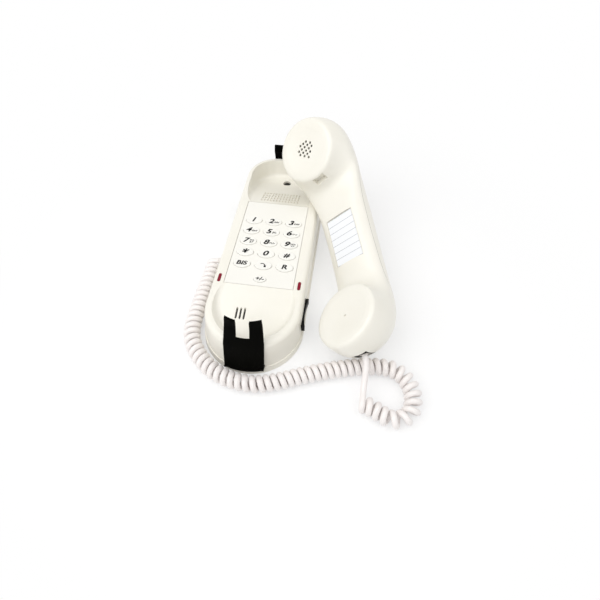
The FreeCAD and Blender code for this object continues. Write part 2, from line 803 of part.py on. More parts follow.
def section_points(inner, outer, half_width, squareness):
    """Loop of points: a superellipse across the line from the inner to the outer point."""
    centre = (inner + outer) * 0.5
    reach = (inner - outer) * 0.5
    points = []
    for index in range(section_count):
        angle = 2 * math.pi * index / section_count
        across = math.copysign(abs(math.cos(angle)) ** (2 / squareness), math.cos(angle))
        along = math.copysign(abs(math.sin(angle)) ** (2 / squareness), math.sin(angle))
        points.append(centre + Vector(half_width * across, 0, 0) + reach * along)
    return points


def smooth_body(rows):
    """Solid skinned through rows of points: a closed loop along each row, capped at both ends."""
    loops = []
    for row in rows:
        loop = Part.BSplineCurve()
        loop.interpolate(Points=row, PeriodicFlag=True, Parameters=[float(i) for i in range(len(row) + 1)])
        loops.append(loop)
    places = [0.0]
    for before, after in zip(rows, rows[1:]):
        steps = [p.distanceToPoint(q) for p, q in zip(before, after)]
        places.append(places[-1] + math.sqrt(sum(step * step for step in steps) / len(steps)))
    poles = []
    for column in zip(*[loop.getPoles() for loop in loops]):
        rail = Part.BSplineCurve()
        rail.interpolate(Points=list(column), Parameters=places)
        poles.append(rail.getPoles())
    skin = Part.BSplineSurface()
    skin.buildFromPolesMultsKnots(poles, loops[0].getMultiplicities(), rail.getMultiplicities(),
                                  loops[0].getKnots(), rail.getKnots(), True, False, 3, 3)
    side = skin.toShape()
    caps = [Part.Face(Part.Wire([skin.vIso(place).toShape()])) for place in (places[0], places[-1])]
    shell = Part.makeShell([side] + caps)
    shell.sewShape()
    body = Part.makeSolid(shell.Shells[0])
    if body.Volume < 0:
        body.reverse()
    return body


def handset_form(wall):
    """The whole handset as one smooth body, drawn in by a wall on every side."""
    stations = handset_stations()
    rows = []
    for index, (inner, outer, half_width, squareness) in enumerate(stations):
        inward = (outer - inner).normalize() * wall
        shift = Vector(0, 0, 0)
        if index == 0:
            shift = face_frame(1)[1] * -wall
        if index == len(stations) - 1:
            shift = face_frame(-1)[1] * -wall
        rows.append(section_points(inner + inward + shift, outer - inward + shift, half_width - wall, squareness))
    return smooth_body(rows)


def face_dish(end):
    """Shallow round hollow in the ear or mouth face."""
    centre, normal, _ = face_frame(end)
    radius = (face_dish_radius ** 2 + face_dish_depth ** 2) / (2 * face_dish_depth)
    return Part.makeSphere(radius, centre + normal * (radius - face_dish_depth))


def ear_holes():
    """Hexagon of sound holes, rows of three, four, five, four and three."""
    centre, normal, _ = face_frame(1)
    along = Vector(0, normal.z, -normal.y)
    row_step = ear_hole_pitch * math.sqrt(3) / 2
    holes = []
    for row in range(-2, 3):
        count = 5 - abs(row)
        for index in range(count):
            x = (index - (count - 1) / 2) * ear_hole_pitch
            foot = centre + Vector(x, 0, 0) + along * (ear_hole_shift + row * row_step) - normal * (3 * handset_wall)
            holes.append(Part.makeCylinder(ear_hole_radius, 6 * handset_wall, foot, normal))
    return holes


def mouth_hole():
    centre, normal, _ = face_frame(-1)
    return Part.makeCylinder(mouth_hole_radius, 6 * handset_wall, centre - normal * (3 * handset_wall), normal)


def handset_end_y():
    return handset_stations()[-2][1].y


def jack_pocket():
    half = handset_jack_width / 2 + plug_clearance
    rise = handset_jack_height / 2 + plug_clearance
    end = handset_end_y()
    return box(-half, half, end - 10.0, end + 1.5 + handset_jack_depth,
               handset_jack_z - rise, handset_jack_z + rise)


def hook_slot():
    """Slot in the throat wall under the ear face, for the tab that holds a hung handset."""
    wall_y = handset_reach / 2 - ear_radius
    return box(-hook_slot_width / 2, hook_slot_width / 2, wall_y - 2 * hook_slot_depth, wall_y + hook_slot_depth,
               hook_slot_z - hook_slot_height / 2, hook_slot_z + hook_slot_height / 2)


def card_recess():
    half = card_width / 2 + card_margin
    run = card_length / 2 + card_margin
    return box(-half, half, card_y - run, card_y + run, -card_recess_depth, 20.0)


def handset_screw_places():
    return [card_y + side * handset_screw_spread for side in (-1, 1)]


def handset_halves():
    """Front shell with the two faces, and back shell, parted along one plane."""
    form = handset_form(0)
    faces = []
    for end in (1, -1):
        centre, normal, radius = face_frame(end)
        faces += [edge for edge in form.Edges
                  if abs((edge.BoundBox.Center - centre).dot(normal)) < 0.5
                  and edge.BoundBox.DiagonalLength < 3 * radius
                  and (edge.BoundBox.Center - centre).Length < radius / 4]
    form = form.makeFillet(face_round, faces)
    form = form.cut([face_dish(1), face_dish(-1)])
    hollow = handset_form(handset_wall)
    span = handset_reach
    upper = box(-span, span, -span, span, parting_height, span)
    floor = box(-card_width, card_width, card_y - card_length, card_y + card_length,
                -card_recess_depth - handset_wall, span)
    posts = [post(0, y, handset_screw_head_radius, parting_height, 0) for y in handset_screw_places()]
    hollow_front = hollow.cut([floor] + posts)
    front = form.common(upper).cut(hollow_front)
    screw_holes = [post(0, y, handset_screw_radius + 0.1, parting_height - 1.0, 1.0) for y in handset_screw_places()]
    screw_holes += [post(0, y, handset_screw_head_radius - 0.8, -card_recess_depth - 1.0, 1.0)
                    for y in handset_screw_places()]
    front = front.cut(ear_holes() + screw_holes + [mouth_hole(), jack_pocket(), hook_slot(), card_recess()])
    base_posts = [post(0, y, handset_screw_head_radius, -2 * grip_depth, parting_height)
                  for y in handset_screw_places()]
    back_hollow = hollow.cut(base_posts)
    back = form.cut(upper).cut(back_hollow)
    pilots = [post(0, y, handset_screw_radius + 0.1, 2 * parting_height, 0) for y in handset_screw_places()]
    back = back.cut(pilots + [jack_pocket()])
    return front, back


def handset_screws():
    screws = []
    top = -card_recess_depth
    for y in handset_screw_places():
        shank = post(0, y, handset_screw_radius, 2 * parting_height + 1.0, top - 1.0)
        head = post(0, y, handset_screw_head_radius - 1.0, top - 1.0, top)
        screws.append(shank.fuse(head))
    return group(screws)


def index_card():
    return box(-card_width / 2, card_width / 2, card_y - card_length / 2, card_y + card_length / 2,
               -card_recess_depth, -card_recess_depth + card_thickness)


def capsule(end, radius, depth):
    centre, normal, _ = face_frame(end)
    seat = centre - normal * (handset_wall + seat_gap + 0.1)
    can = Part.makeCylinder(radius, depth * 0.6, seat, normal * -1)
    return can.fuse(Part.makeCylinder(radius * 0.7, depth, seat, normal * -1))


def hook_magnet():
    """Disc magnet stuck to the back of the earpiece, for the hook switch in the base."""
    centre, normal, _ = face_frame(1)
    back = centre - normal * (handset_wall + seat_gap + 0.1 + capsule_depth)
    return Part.makeCylinder(magnet_radius, magnet_length, back, normal * -1)


def handset_weight():
    """Steel ballast bar shaped to the inside of the back shell."""
    inside = handset_form(handset_wall + seat_gap)
    end = handset_screw_places()[0] - 2 * handset_screw_head_radius
    floor = -grip_depth + handset_wall
    bar = box(-weight_width / 2, weight_width / 2, end - weight_length, end, -2 * grip_depth, floor + weight_height)
    return inside.common(bar)


def handset_jack():
    end = handset_end_y() + 1.5
    half = handset_jack_width / 2
    rise = handset_jack_height / 2
    body = box(-half, half, end, end + handset_jack_depth, handset_jack_z - rise, handset_jack_z + rise)
    slot_half = plug_width / 2 + plug_clearance
    slot_rise = plug_height / 2 + plug_clearance
    slot = box(-slot_half, slot_half, end - 1.0, end + plug_depth + plug_clearance,
               handset_jack_z - slot_rise, handset_jack_z + slot_rise)
    return body.cut(slot)


def plug_face():
    """Middle of the plug's outer face and the way the cord leaves it, in the handset."""
    return Vector(0, handset_end_y() + 1.5, handset_jack_z), Vector(0, -1, 0)


def handset_plug():
    face, _ = plug_face()
    half = plug_width / 2
    rise = plug_height / 2
    return box(-half, half, face.y, face.y + plug_depth, face.z - rise, face.z + rise)


def cord_path(points):
    """Straight runs joined by the largest tangent arcs that the runs allow."""
    edges = []
    radii = []
    start = points[0]
    for before, corner, after in zip(points, points[1:], points[2:]):
        back = before - corner
        ahead = after - corner
        turn = math.pi - back.getAngle(ahead)
        trim = 0.45 * min(back.Length, ahead.Length)
        radius = trim / math.tan(turn / 2)
        radii.append(radius)
        entry = corner + back.normalize() * trim
        leave = corner + ahead.normalize() * trim
        bisector = (back + ahead).normalize()
        middle = corner + bisector * (radius / math.cos(turn / 2) - radius)
        edges.append(line(start, entry))
        edges.append(arc(entry, middle, leave))
        start = leave
    edges.append(line(start, points[-1]))
    return Part.Wire(edges), radii


def curl_height():
    return curl_radius + cord_diameter / 2 + cord_lift


def curl_axis():
    """Smooth middle line of the curls: a quadratic B-spline on the route's points."""
    curve = Part.BSplineCurve()
    curve.buildFromPoles([Vector(x, y, curl_height()) for x, y in curl_route], False, 2)
    return curve


def curl_turns():
    """Steps along the middle line, each with its place, sideways way and turn angle.

    The curls touch the same gap on the inside of every bend, so the pitch on the
    middle line grows with the bend."""
    axis = curl_axis()
    length = axis.length()
    steps = 2400
    pitch = cord_diameter + curl_gap
    angle = 0.0
    rows = []
    for index in range(steps + 1):
        place = axis.parameterAtDistance(length * index / steps)
        tangent = Vector(*axis.tangent(place)[0])
        bend = axis.curvature(place)
        rows.append((axis.value(place), Vector(-tangent.y, tangent.x, 0), tangent, angle))
        angle += 2 * math.pi * length / steps * (1 - curl_radius * bend) / pitch
    return rows


def curl_points():
    """Two points on the wire for each curl, with the way the wire runs at each.

    Whole curls start and end at the top of a turn, where the wire heads for the base.
    The helix angle is counted from the top."""
    rows = curl_turns()
    half_turns = 2 * round(rows[-1][3] / (2 * math.pi))
    stretch = half_turns * math.pi / rows[-1][3]
    points = []
    target = 0
    for before, after in zip(rows, rows[1:]):
        while target <= half_turns and after[3] * stretch >= target * math.pi - 1e-6:
            centre, side, tangent, _ = before if target == 0 else after
            points.append((target * math.pi, centre, side, tangent))
            target += 1
    return points, rows, stretch


def wire_place(centre, side, angle):
    return centre + Vector(0, 0, curl_radius * math.cos(angle)) - side * (curl_radius * math.sin(angle))


def wire_way(side, tangent, angle, climb):
    round_way = Vector(0, 0, -math.sin(angle)) - side * math.cos(angle)
    return (round_way * curl_radius + tangent * climb).normalize()


def arc_from(start, way, end):
    """Arc that leaves a point in a given way and ends at another point."""
    chord = end - start
    normal = chord - way * chord.dot(way)
    normal.normalize()
    radius = chord.Length ** 2 / (2 * chord.dot(normal))
    centre = start + normal * radius
    middle = centre + ((start - centre) + (end - centre)).normalize() * radius
    return arc(start, middle, end), radius


def biarc(start, way, end, end_way):
    """Two arcs that meet smoothly between two points with given ways."""
    chord = end - start
    both = way + end_way
    open_part = 2 * (1 - way.dot(end_way))
    reach = chord.dot(both)
    size = (math.sqrt(reach ** 2 + open_part * chord.dot(chord)) - reach) / open_part
    joint = (start + end + (way - end_way) * size) * 0.5
    first, first_radius = arc_from(start, way, joint)
    second, second_radius = arc_from(end, end_way * -1, joint)
    return [first, second], min(first_radius, second_radius)


def curl_gap_to_itself(rows, stretch):
    """Least distance between the surfaces of wire that lie a half turn or more apart."""
    places = [(row[3] * stretch, wire_place(row[0], row[1], row[3] * stretch)) for row in rows[::2]]
    least = far
    for index, (angle, place) in enumerate(places):
        for other_angle, other in places[index + 1:index + 60]:
            if other_angle - angle > math.pi:
                least = min(least, place.distanceToPoint(other))
    return least - cord_diameter


def curl_knots():
    """Points of the wire at each half turn, with the way it runs there."""
    pitch = cord_diameter + curl_gap
    knots = []
    for angle, centre, side, tangent in curl_points()[0]:
        knots.append((wire_place(centre, side, angle), wire_way(side, tangent, angle, pitch / (2 * math.pi))))
    return knots


def cord_entry():
    """End of the curls at the handset's side, and the way the wire runs into them."""
    place, way = curl_knots()[0]
    return place - way * cord_diameter, way


def cord_exit():
    """End of the curls at the base, and the way the wire runs out of them."""
    place, way = curl_knots()[-1]
    return place + way * cord_diameter, way


def cord_coil():
    """The curls as one tube: straight lead-in, half-turn biarcs, straight lead-out."""
    knots = curl_knots()
    entry, entry_way = cord_entry()
    edges = [line(entry, knots[0][0])]
    tightest = far
    for (start, way), (end, end_way) in zip(knots, knots[1:]):
        pair, radius = biarc(start, way, end, end_way)
        edges += pair
        tightest = min(tightest, radius)
    edges.append(line(knots[-1][0], cord_exit()[0]))
    path = Part.Wire(edges)
    across = Vector(0, 0, 1)
    beside = entry_way.cross(across).normalize()
    ring = []
    for index in range(curl_sides + 1):
        angle = 2 * math.pi * (index + 0.5) / curl_sides
        ring.append(entry + (across * math.cos(angle) + beside * math.sin(angle)) * (cord_diameter / 2))
    tube = path.makePipeShell([Part.makePolygon(ring)], True, False)
    if tube.Volume < 0:
        tube.reverse()
    _, rows, stretch = curl_points()
    section = Part.Face(Part.makePolygon(ring)).Area
    print("curls", len(knots) // 2, "tightest arc", round(tightest, 2), "wire length", round(path.Length, 1),
          "least gap", round(curl_gap_to_itself(rows, stretch), 3),
          "volume share", round(tube.Volume / (section * path.Length), 4))
    return tube


def cord_lead():
    """Straight cord from the handset's plug down to the first curl."""
    face, way = plug_face()
    turned = handset_placement()
    start = turned.multVec(face)
    start_way = turned.Rotation.multVec(way)
    entry, entry_way = cord_entry()
    points = [start, start + start_way * lead_run, entry - entry_way * lead_run, entry]
    path, radii = cord_path(points)
    ring = Part.Wire([Part.Circle(start, start_way, cord_diameter / 2).toShape()])
    tube = path.makePipeShell([ring], True, False)
    ideal = math.pi * cord_diameter ** 2 / 4 * path.Length
    print("cord_lead radii", [round(r, 1) for r in radii], "volume share", round(tube.Volume / ideal, 4))
    return tube


def cord_boot():
    """Tapered rubber boot that brings the cord through the left wall."""
    foot, way = cord_exit()
    taper = Part.makeCone(boot_small_radius, boot_large_radius, boot_length, foot, way)
    collar = Part.makeCylinder(boot_large_radius + 1.4, boot_collar, foot + way * boot_length, way)
    return taper.fuse(collar)


def main():
    os.makedirs("parts", exist_ok=True)
    shapes = {"base_lower_shell": base_lower_shell(), "base_upper_shell": base_upper_shell(),
              "keypad_faceplate": keypad_faceplate(), "keypad_mat": keypad_mat(), "main_board": main_board(),
              "lamp_lens_left": lamp_lens(-1), "lamp_lens_right": lamp_lens(1), "lamp_leds": lamp_leds(),
              "reed_switch": reed_switch(), "ringer_speaker": ringer_speaker(),
              "base_microphone": base_microphone(), "foot_pads": foot_pads(), "base_screws": base_screws(),
              "volume_rocker": volume_rocker(), "volume_switch": volume_switch(), "line_jack": line_jack(),
              "lower_bracket": lower_bracket(), "upper_bracket": upper_bracket(),
              "bracket_screws": bracket_screws(), "cord_boot": cord_boot()}
    for name, place in key_places().items():
        shapes[name] = key_cap(*place)
    front, back = handset_halves()
    handset = {"handset_front_shell": front, "handset_back_shell": back, "handset_screws": handset_screws(),
               "index_card": index_card(), "earpiece_capsule": capsule(1, capsule_radius, capsule_depth),
               "handset_microphone": capsule(-1, mouth_capsule_radius, mouth_capsule_depth),
               "hook_magnet": hook_magnet(), "handset_weight": handset_weight(),
               "handset_jack": handset_jack(), "handset_plug": handset_plug()}
    for name, shape in handset.items():
        shapes[name] = placed(shape)
    shapes["cord_coil"] = cord_coil()
    shapes["cord_lead"] = cord_lead()
    for name, shape in shapes.items():
        print(name, shape.ShapeType, len(shape.Solids), shape.isValid(), round(shape.Volume, 1))
        shape.exportStep("parts/" + name + ".step")


main()
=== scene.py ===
import json
import math
import bmesh
import bpy
import numpy as np
from mathutils import Matrix, Vector

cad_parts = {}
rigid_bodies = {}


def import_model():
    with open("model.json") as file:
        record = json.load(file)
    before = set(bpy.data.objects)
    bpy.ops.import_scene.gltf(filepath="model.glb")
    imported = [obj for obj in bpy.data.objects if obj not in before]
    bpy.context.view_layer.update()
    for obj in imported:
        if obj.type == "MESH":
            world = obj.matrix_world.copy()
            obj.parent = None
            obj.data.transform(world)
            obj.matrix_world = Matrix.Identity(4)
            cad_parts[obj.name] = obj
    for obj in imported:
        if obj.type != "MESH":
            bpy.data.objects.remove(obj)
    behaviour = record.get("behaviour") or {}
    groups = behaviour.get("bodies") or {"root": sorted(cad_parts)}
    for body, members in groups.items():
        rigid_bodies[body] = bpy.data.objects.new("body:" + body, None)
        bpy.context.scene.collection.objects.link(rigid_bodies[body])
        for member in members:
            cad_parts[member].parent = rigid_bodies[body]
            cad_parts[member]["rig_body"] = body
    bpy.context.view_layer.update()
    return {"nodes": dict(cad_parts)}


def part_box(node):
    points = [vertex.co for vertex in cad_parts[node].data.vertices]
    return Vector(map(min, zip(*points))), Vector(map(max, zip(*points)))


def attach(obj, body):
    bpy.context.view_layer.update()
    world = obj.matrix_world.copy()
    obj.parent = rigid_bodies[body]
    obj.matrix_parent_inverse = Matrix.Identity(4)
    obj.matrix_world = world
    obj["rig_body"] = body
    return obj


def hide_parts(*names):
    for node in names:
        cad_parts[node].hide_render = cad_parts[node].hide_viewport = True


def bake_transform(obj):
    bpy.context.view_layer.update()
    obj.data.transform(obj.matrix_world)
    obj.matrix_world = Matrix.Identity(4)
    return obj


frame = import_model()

# Camera: above the dialling end of the phone, looking steeply down along the base. It is
# turned a little to the left, so the base leans to the right in the picture.
camera_place = (0.06388, -0.26745, 0.30988)
camera_pitch = math.radians(54.54)
camera_yaw = math.radians(-7.64)
camera_roll = math.radians(0.35)
focal_pixels = 418.98
picture_pixels = 600.0
sensor_width = 36.0
nearest_seen = 0.01


def flat_turn(angle):
    """Turn about the third axis by an angle, as a matrix."""
    return np.array([[math.cos(angle), -math.sin(angle), 0],
                     [math.sin(angle), math.cos(angle), 0], [0, 0, 1]])


def camera_ways():
    """The picture's right, down and ahead, as rows: the yaw first, then the pitch, then the roll."""
    tip = np.array([[1, 0, 0], [0, -math.sin(camera_pitch), -math.cos(camera_pitch)],
                    [0, math.cos(camera_pitch), -math.sin(camera_pitch)]])
    return flat_turn(camera_roll) @ tip @ flat_turn(camera_yaw)


right, down, ahead = camera_ways()
camera_data = bpy.data.cameras.new("photo_camera")
camera_data.sensor_width = sensor_width
camera_data.lens = sensor_width * focal_pixels / picture_pixels
camera_data.clip_start = nearest_seen
camera = bpy.data.objects.new("photo_camera", camera_data)
bpy.context.scene.collection.objects.link(camera)
camera_rows = np.column_stack([right, -down, -ahead, camera_place])
camera.matrix_world = Matrix((*camera_rows.tolist(), (0, 0, 0, 1)))
bpy.context.scene.camera = camera

# Handset cord: a soft plastic jacket round fine conductors, wound hot on a rod so that it keeps
# its curls. A straight lead plugs into the handset, and a boot holds the other end in the base.
cord_diameter = 0.0048
cord_sides = 12
cord_rings = 2700
curl_radius = 0.0047
curl_gap = 0.00055
curl_pitch = cord_diameter + curl_gap
table_gap = 0.00015
curl_height = curl_radius + cord_diameter / 2 + table_gap
curl_route = [
    (0.0945, -0.1425), (0.1015, -0.1440), (0.1090, -0.1485), (0.1170, -0.1518), (0.1250, -0.1505),
    (0.1315, -0.1445), (0.1335, -0.1360), (0.1325, -0.1260), (0.1270, -0.1160), (0.1175, -0.1100),
    (0.1030, -0.1095), (0.0840, -0.1135), (0.0630, -0.1198), (0.0440, -0.1270), (0.0270, -0.1345),
    (0.0090, -0.1390), (-0.0100, -0.1370), (-0.0260, -0.1303), (-0.0390, -0.1195), (-0.0485, -0.1060),
    (-0.0518, -0.0900), (-0.0516, -0.0720), (-0.0512, -0.0540), (-0.0508, -0.0380), (-0.0505, -0.0240)]
route_resolution = 48
route_steps = 6000
bend_smoothing = 40
lead_straight = 0.007
lead_resolution = 24
handset_place = np.array([0.0656, -0.0027, 0.0431])
handset_yaw = math.radians(5.2)
handset_roll = math.radians(-45.0)
handset_pitch = math.radians(19.3)
handset_turn = np.array(Matrix.Rotation(handset_yaw, 3, "Z") @ Matrix.Rotation(handset_roll, 3, "Y")
                        @ Matrix.Rotation(handset_pitch, 3, "X"))
plug_end = np.array([0, -0.1119, 0.0130])
plug_face = handset_turn @ plug_end + handset_place
plug_way = handset_turn @ np.array([0, -1.0, 0])


def spline_points(name, points, resolution):
    """Points of a quadratic NURBS spline that has the given points as its control points."""
    curve = bpy.data.curves.new(name, "CURVE")
    curve.dimensions = "3D"
    curve.resolution_u = resolution
    spline = curve.splines.new("NURBS")
    spline.points.add(len(points) - 1)
    weighted = np.column_stack([points, np.ones(len(points))])
    spline.points.foreach_set("co", weighted.astype(np.float32).ravel())
    spline.order_u = 3
    spline.use_endpoint_u = True
    holder = bpy.data.objects.new(name, curve)
    bpy.context.scene.collection.objects.link(holder)
    mesh = bpy.data.meshes.new_from_object(holder)
    places = np.empty(len(mesh.vertices) * 3, np.float32)
    mesh.vertices.foreach_get("co", places)
    bpy.data.objects.remove(holder)
    bpy.data.meshes.remove(mesh)
    return places.reshape(-1, 3).astype(float)


def along(points, count):
    """The same line with points at equal steps of its own length, and that length."""
    reach = np.concatenate([[0], np.cumsum(np.linalg.norm(np.diff(points, axis=0), axis=1))])
    steps = np.linspace(0, reach[-1], count)
    return np.column_stack([np.interp(steps, reach, points[:, k]) for k in range(3)]), reach[-1]


def unit(ways):
    """Each way drawn to a length of one."""
    return ways / np.linalg.norm(ways, axis=-1, keepdims=True)


def curled_wire():
    """Helix round the route: the angle grows with length over pitch, slower on the inside of
    bends, and is scaled to whole curls. It starts and ends at the top of a curl."""
    flat = np.column_stack([curl_route, np.full(len(curl_route), curl_height)])
    axis, length = along(spline_points("curl_route", flat, route_resolution), route_steps)
    tangent = unit(np.gradient(axis, axis=0))
    step = length / (len(axis) - 1)
    bend = np.linalg.norm(np.gradient(tangent, axis=0), axis=1) / step
    window = 2 * bend_smoothing + 1
    smooth = np.convolve(np.pad(bend, bend_smoothing, mode="edge"), np.ones(window) / window, mode="valid")
    growth = 2 * np.pi * step * (1 - curl_radius * smooth[:-1]) / curl_pitch
    angle = np.concatenate([[0], np.cumsum(growth)])
    angle *= np.round(angle[-1] / (2 * np.pi)) * 2 * np.pi / angle[-1]
    side = np.column_stack([-tangent[:, 1], tangent[:, 0], np.zeros(len(axis))])
    curls = axis - side * (curl_radius * np.sin(angle))[:, None]
    curls[:, 2] += curl_radius * np.cos(angle)
    return curls


wire = curled_wire()
entry_way = unit(wire[1] - wire[0])
exit_way = unit(wire[-1] - wire[-2])
cord_entry = wire[0] - entry_way * cord_diameter
boot_point = wire[-1] + exit_way * cord_diameter
lead_corners = np.array([plug_face, plug_face + plug_way * lead_straight,
                         cord_entry - entry_way * lead_straight, cord_entry])
lead = spline_points("lead_route", lead_corners, lead_resolution)
cord_line, cord_length = along(np.vstack([lead, wire, boot_point[None]]), cord_rings)


def grid_mesh(name, rings):
    """Mesh of a grid whose rows are closed loops, with the first and the last row filled."""
    rows, columns = rings.shape[:2]
    index = np.arange(rows * columns).reshape(rows, columns)
    beside = np.roll(index, -1, axis=1)
    quads = np.stack([index[:-1], beside[:-1], beside[1:], index[1:]], axis=-1).reshape(-1, 4)
    faces = quads.tolist() + [index[0, ::-1].tolist(), index[-1].tolist()]
    mesh = bpy.data.meshes.new(name)
    mesh.from_pydata(rings.reshape(-1, 3).tolist(), [], faces)
    shape = bmesh.new()
    shape.from_mesh(mesh)
    bmesh.ops.recalc_face_normals(shape, faces=shape.faces)
    shape.to_mesh(mesh)
    shape.free()
    mesh.polygons.foreach_set("use_smooth", np.ones(len(mesh.polygons), bool))
    return mesh


def tube_mesh(name, line, radius, sides):
    """Round tube: a ring at each point, square to the line, carried on with least twist."""
    tangent = unit(np.gradient(line, axis=0))
    normal = np.empty_like(line)
    normal[0] = unit(np.cross(tangent[0], (1.0, 0.0, 0.0)))
    for ring in range(1, len(line)):
        before = normal[ring - 1]
        normal[ring] = unit(before - tangent[ring] * (before @ tangent[ring]))
    other = np.cross(tangent, normal)
    angle = np.linspace(0, 2 * np.pi, sides, endpoint=False)
    rings = (line[:, None, :] + radius * (normal[:, None, :] * np.cos(angle)[None, :, None]
                                          + other[:, None, :] * np.sin(angle)[None, :, None]))
    return grid_mesh(name, rings)


def new_piece(name, mesh, *finishes):
    """Piece that shows a mesh, with its finishes in the order of the mesh's material numbers."""
    piece = bpy.data.objects.new(name, mesh)
    bpy.context.scene.collection.objects.link(piece)
    mesh.materials.clear()
    for finish in finishes:
        mesh.materials.append(finish)
    return piece


def feed(tree, node, inputs):
    """Give each input of a node its value, or a link from the socket that feeds it."""
    for key, source in inputs.items():
        if isinstance(source, bpy.types.NodeSocket):
            tree.links.new(source, node.inputs[key])
        else:
            node.inputs[key].default_value = source


def add_node(tree, kind, inputs, **settings):
    """New node in a material's tree, with its settings made before its inputs are fed."""
    node = tree.nodes.new(kind)
    for key, setting in settings.items():
        setattr(node, key, setting)
    feed(tree, node, inputs)
    return node


def new_finish(name):
    """New material, with its tree of nodes and the shader in it."""
    finish = bpy.data.materials.new(name)
    finish.use_nodes = True
    return finish, finish.node_tree, finish.node_tree.nodes["Principled BSDF"]


def moulded_group():
    """Surface of moulded plastic: a slow noise drifts the colour and the gloss, a quick one adds
    specks of dust to the drift, and a fine one is the height of the grain."""
    group = bpy.data.node_groups.new("moulded_surface", "ShaderNodeTree")
    for label in ("Colour", "Worn colour"):
        group.interface.new_socket(label, in_out="INPUT", socket_type="NodeSocketColor")
    for label in ("Drift", "Roughness", "Grain size"):
        group.interface.new_socket(label, in_out="INPUT", socket_type="NodeSocketFloat")
    group.interface.new_socket("Colour", in_out="OUTPUT", socket_type="NodeSocketColor")
    for label in ("Roughness", "Height"):
        group.interface.new_socket(label, in_out="OUTPUT", socket_type="NodeSocketFloat")
    given = group.nodes.new("NodeGroupInput")
    place = group.nodes.new("ShaderNodeTexCoord").outputs["Object"]
    slow = add_node(group, "ShaderNodeTexNoise", {"Vector": place, "Scale": 28.0, "Detail": 5.0})
    dust = add_node(group, "ShaderNodeTexNoise", {"Vector": place, "Scale": 420.0, "Detail": 3.0})
    fine = add_node(group, "ShaderNodeTexNoise",
                    {"Vector": place, "Scale": given.outputs["Grain size"], "Detail": 2.0})
    spread = add_node(group, "ShaderNodeMapRange",
                      {"Value": slow.outputs["Fac"], "From Min": 0.38, "From Max": 0.66})
    drift = add_node(group, "ShaderNodeMath", {0: spread.outputs["Result"], 1: given.outputs["Drift"]},
                     operation="MULTIPLY")
    specks = add_node(group, "ShaderNodeMapRange",
                      {"Value": dust.outputs["Fac"], "From Min": 0.66, "From Max": 0.74, "To Max": 0.25})
    worn = add_node(group, "ShaderNodeMath", {0: drift.outputs[0], 1: specks.outputs["Result"]},
                    operation="ADD", use_clamp=True)
    colour = add_node(group, "ShaderNodeMix", {"Factor": worn.outputs[0], "A": given.outputs["Colour"],
                                               "B": given.outputs["Worn colour"]}, data_type="RGBA")
    gloss_drift = 0.12
    gloss = add_node(group, "ShaderNodeMath",
                     {0: slow.outputs["Fac"], 1: gloss_drift, 2: given.outputs["Roughness"]},
                     operation="MULTIPLY_ADD")
    add_node(group, "NodeGroupOutput", {"Colour": colour.outputs["Result"], "Roughness": gloss.outputs[0],
                                        "Height": fine.outputs["Fac"]})
    return group


moulding = moulded_group()


def moulded_plastic(name, colour, worn, roughness, drift=0.35, grain=2600.0, bump=0.04, coat=0.0,
                    shine=0.5):
    """Principled plastic whose colour, gloss and grain come from the moulded surface."""
    finish, tree, shader = new_finish(name)
    surface = add_node(tree, "ShaderNodeGroup",
                       {"Colour": (*colour, 1), "Worn colour": (*worn, 1), "Drift": drift,
                        "Roughness": roughness, "Grain size": grain}, node_tree=moulding)
    relief = add_node(tree, "ShaderNodeBump",
                      {"Strength": bump, "Distance": 0.0002, "Height": surface.outputs["Height"]})
    feed(tree, shader, {"Base Color": surface.outputs["Colour"], "Roughness": surface.outputs["Roughness"],
                        "Normal": relief.outputs["Normal"], "IOR": 1.5, "Specular IOR Level": shine,
                        "Coat Weight": coat, "Coat Roughness": 0.2})
    return finish


jacket = moulded_plastic("cord_jacket", (0.90, 0.86, 0.84), (0.84, 0.79, 0.765), roughness=0.36,
                         grain=1800.0, bump=0.05)
cord_tube = tube_mesh("handset_cord", cord_line, cord_diameter / 2, cord_sides)
cord = new_piece("handset_cord", cord_tube, jacket)
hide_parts("cord_coil", "cord_lead")
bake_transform(cord)

# Base shells: two ivory mouldings that meet just above the table. The upper one has the
# deep cup, the keypad seat and the dish, and the lower one is a plain tray on rubber pads.
ivory_colour = (0.875, 0.852, 0.775)
ivory_worn = (0.82, 0.79, 0.69)
ivory = moulded_plastic("ivory_plastic", ivory_colour, ivory_worn, roughness=0.26, coat=0.15)
corner_join = 2e-6


def smoothed_node(node, finish, sharp=30):
    """Copy of a solid with its triangles joined, shaded smooth up to a sharp angle in degrees."""
    source = frame["nodes"][node]
    shape = bmesh.new()
    shape.from_mesh(source.data)
    bmesh.ops.remove_doubles(shape, verts=shape.verts, dist=corner_join)
    mesh = bpy.data.meshes.new(node + "_skin")
    shape.to_mesh(mesh)
    shape.free()
    if "custom_normal" in mesh.attributes:
        mesh.attributes.remove(mesh.attributes["custom_normal"])
    mesh.polygons.foreach_set("use_smooth", np.ones(len(mesh.polygons), bool))
    mesh.polygons.foreach_set("material_index", np.zeros(len(mesh.polygons), np.int32))
    mesh.set_sharp_from_angle(angle=math.radians(sharp))
    piece = new_piece(node + "_skin", mesh, finish)
    weigh = piece.modifiers.new("even_shading", "WEIGHTED_NORMAL")
    weigh.keep_sharp = True
    weigh.weight = 80
    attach(piece, source["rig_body"])
    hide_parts(node)
    return piece


for node in ("base_upper_shell", "base_lower_shell"):
    smoothed_node(node, ivory, sharp=32)

# Dust felt: a thin pale sheet pressed up into the sound slots of the ramp, so that dirt
# doesn't reach the loudspeaker. It lies a little below the face of the ramp.
felt_half_width = 0.0195
felt_start = 0.0490
felt_end = 0.0692
felt_thickness = 0.0003
felt_sink = 0.0008
felt_steps = 9
ramp_start = 0.0440
ramp_height = 0.0277
ramp_fall = 0.0177
ramp_run = 0.0520


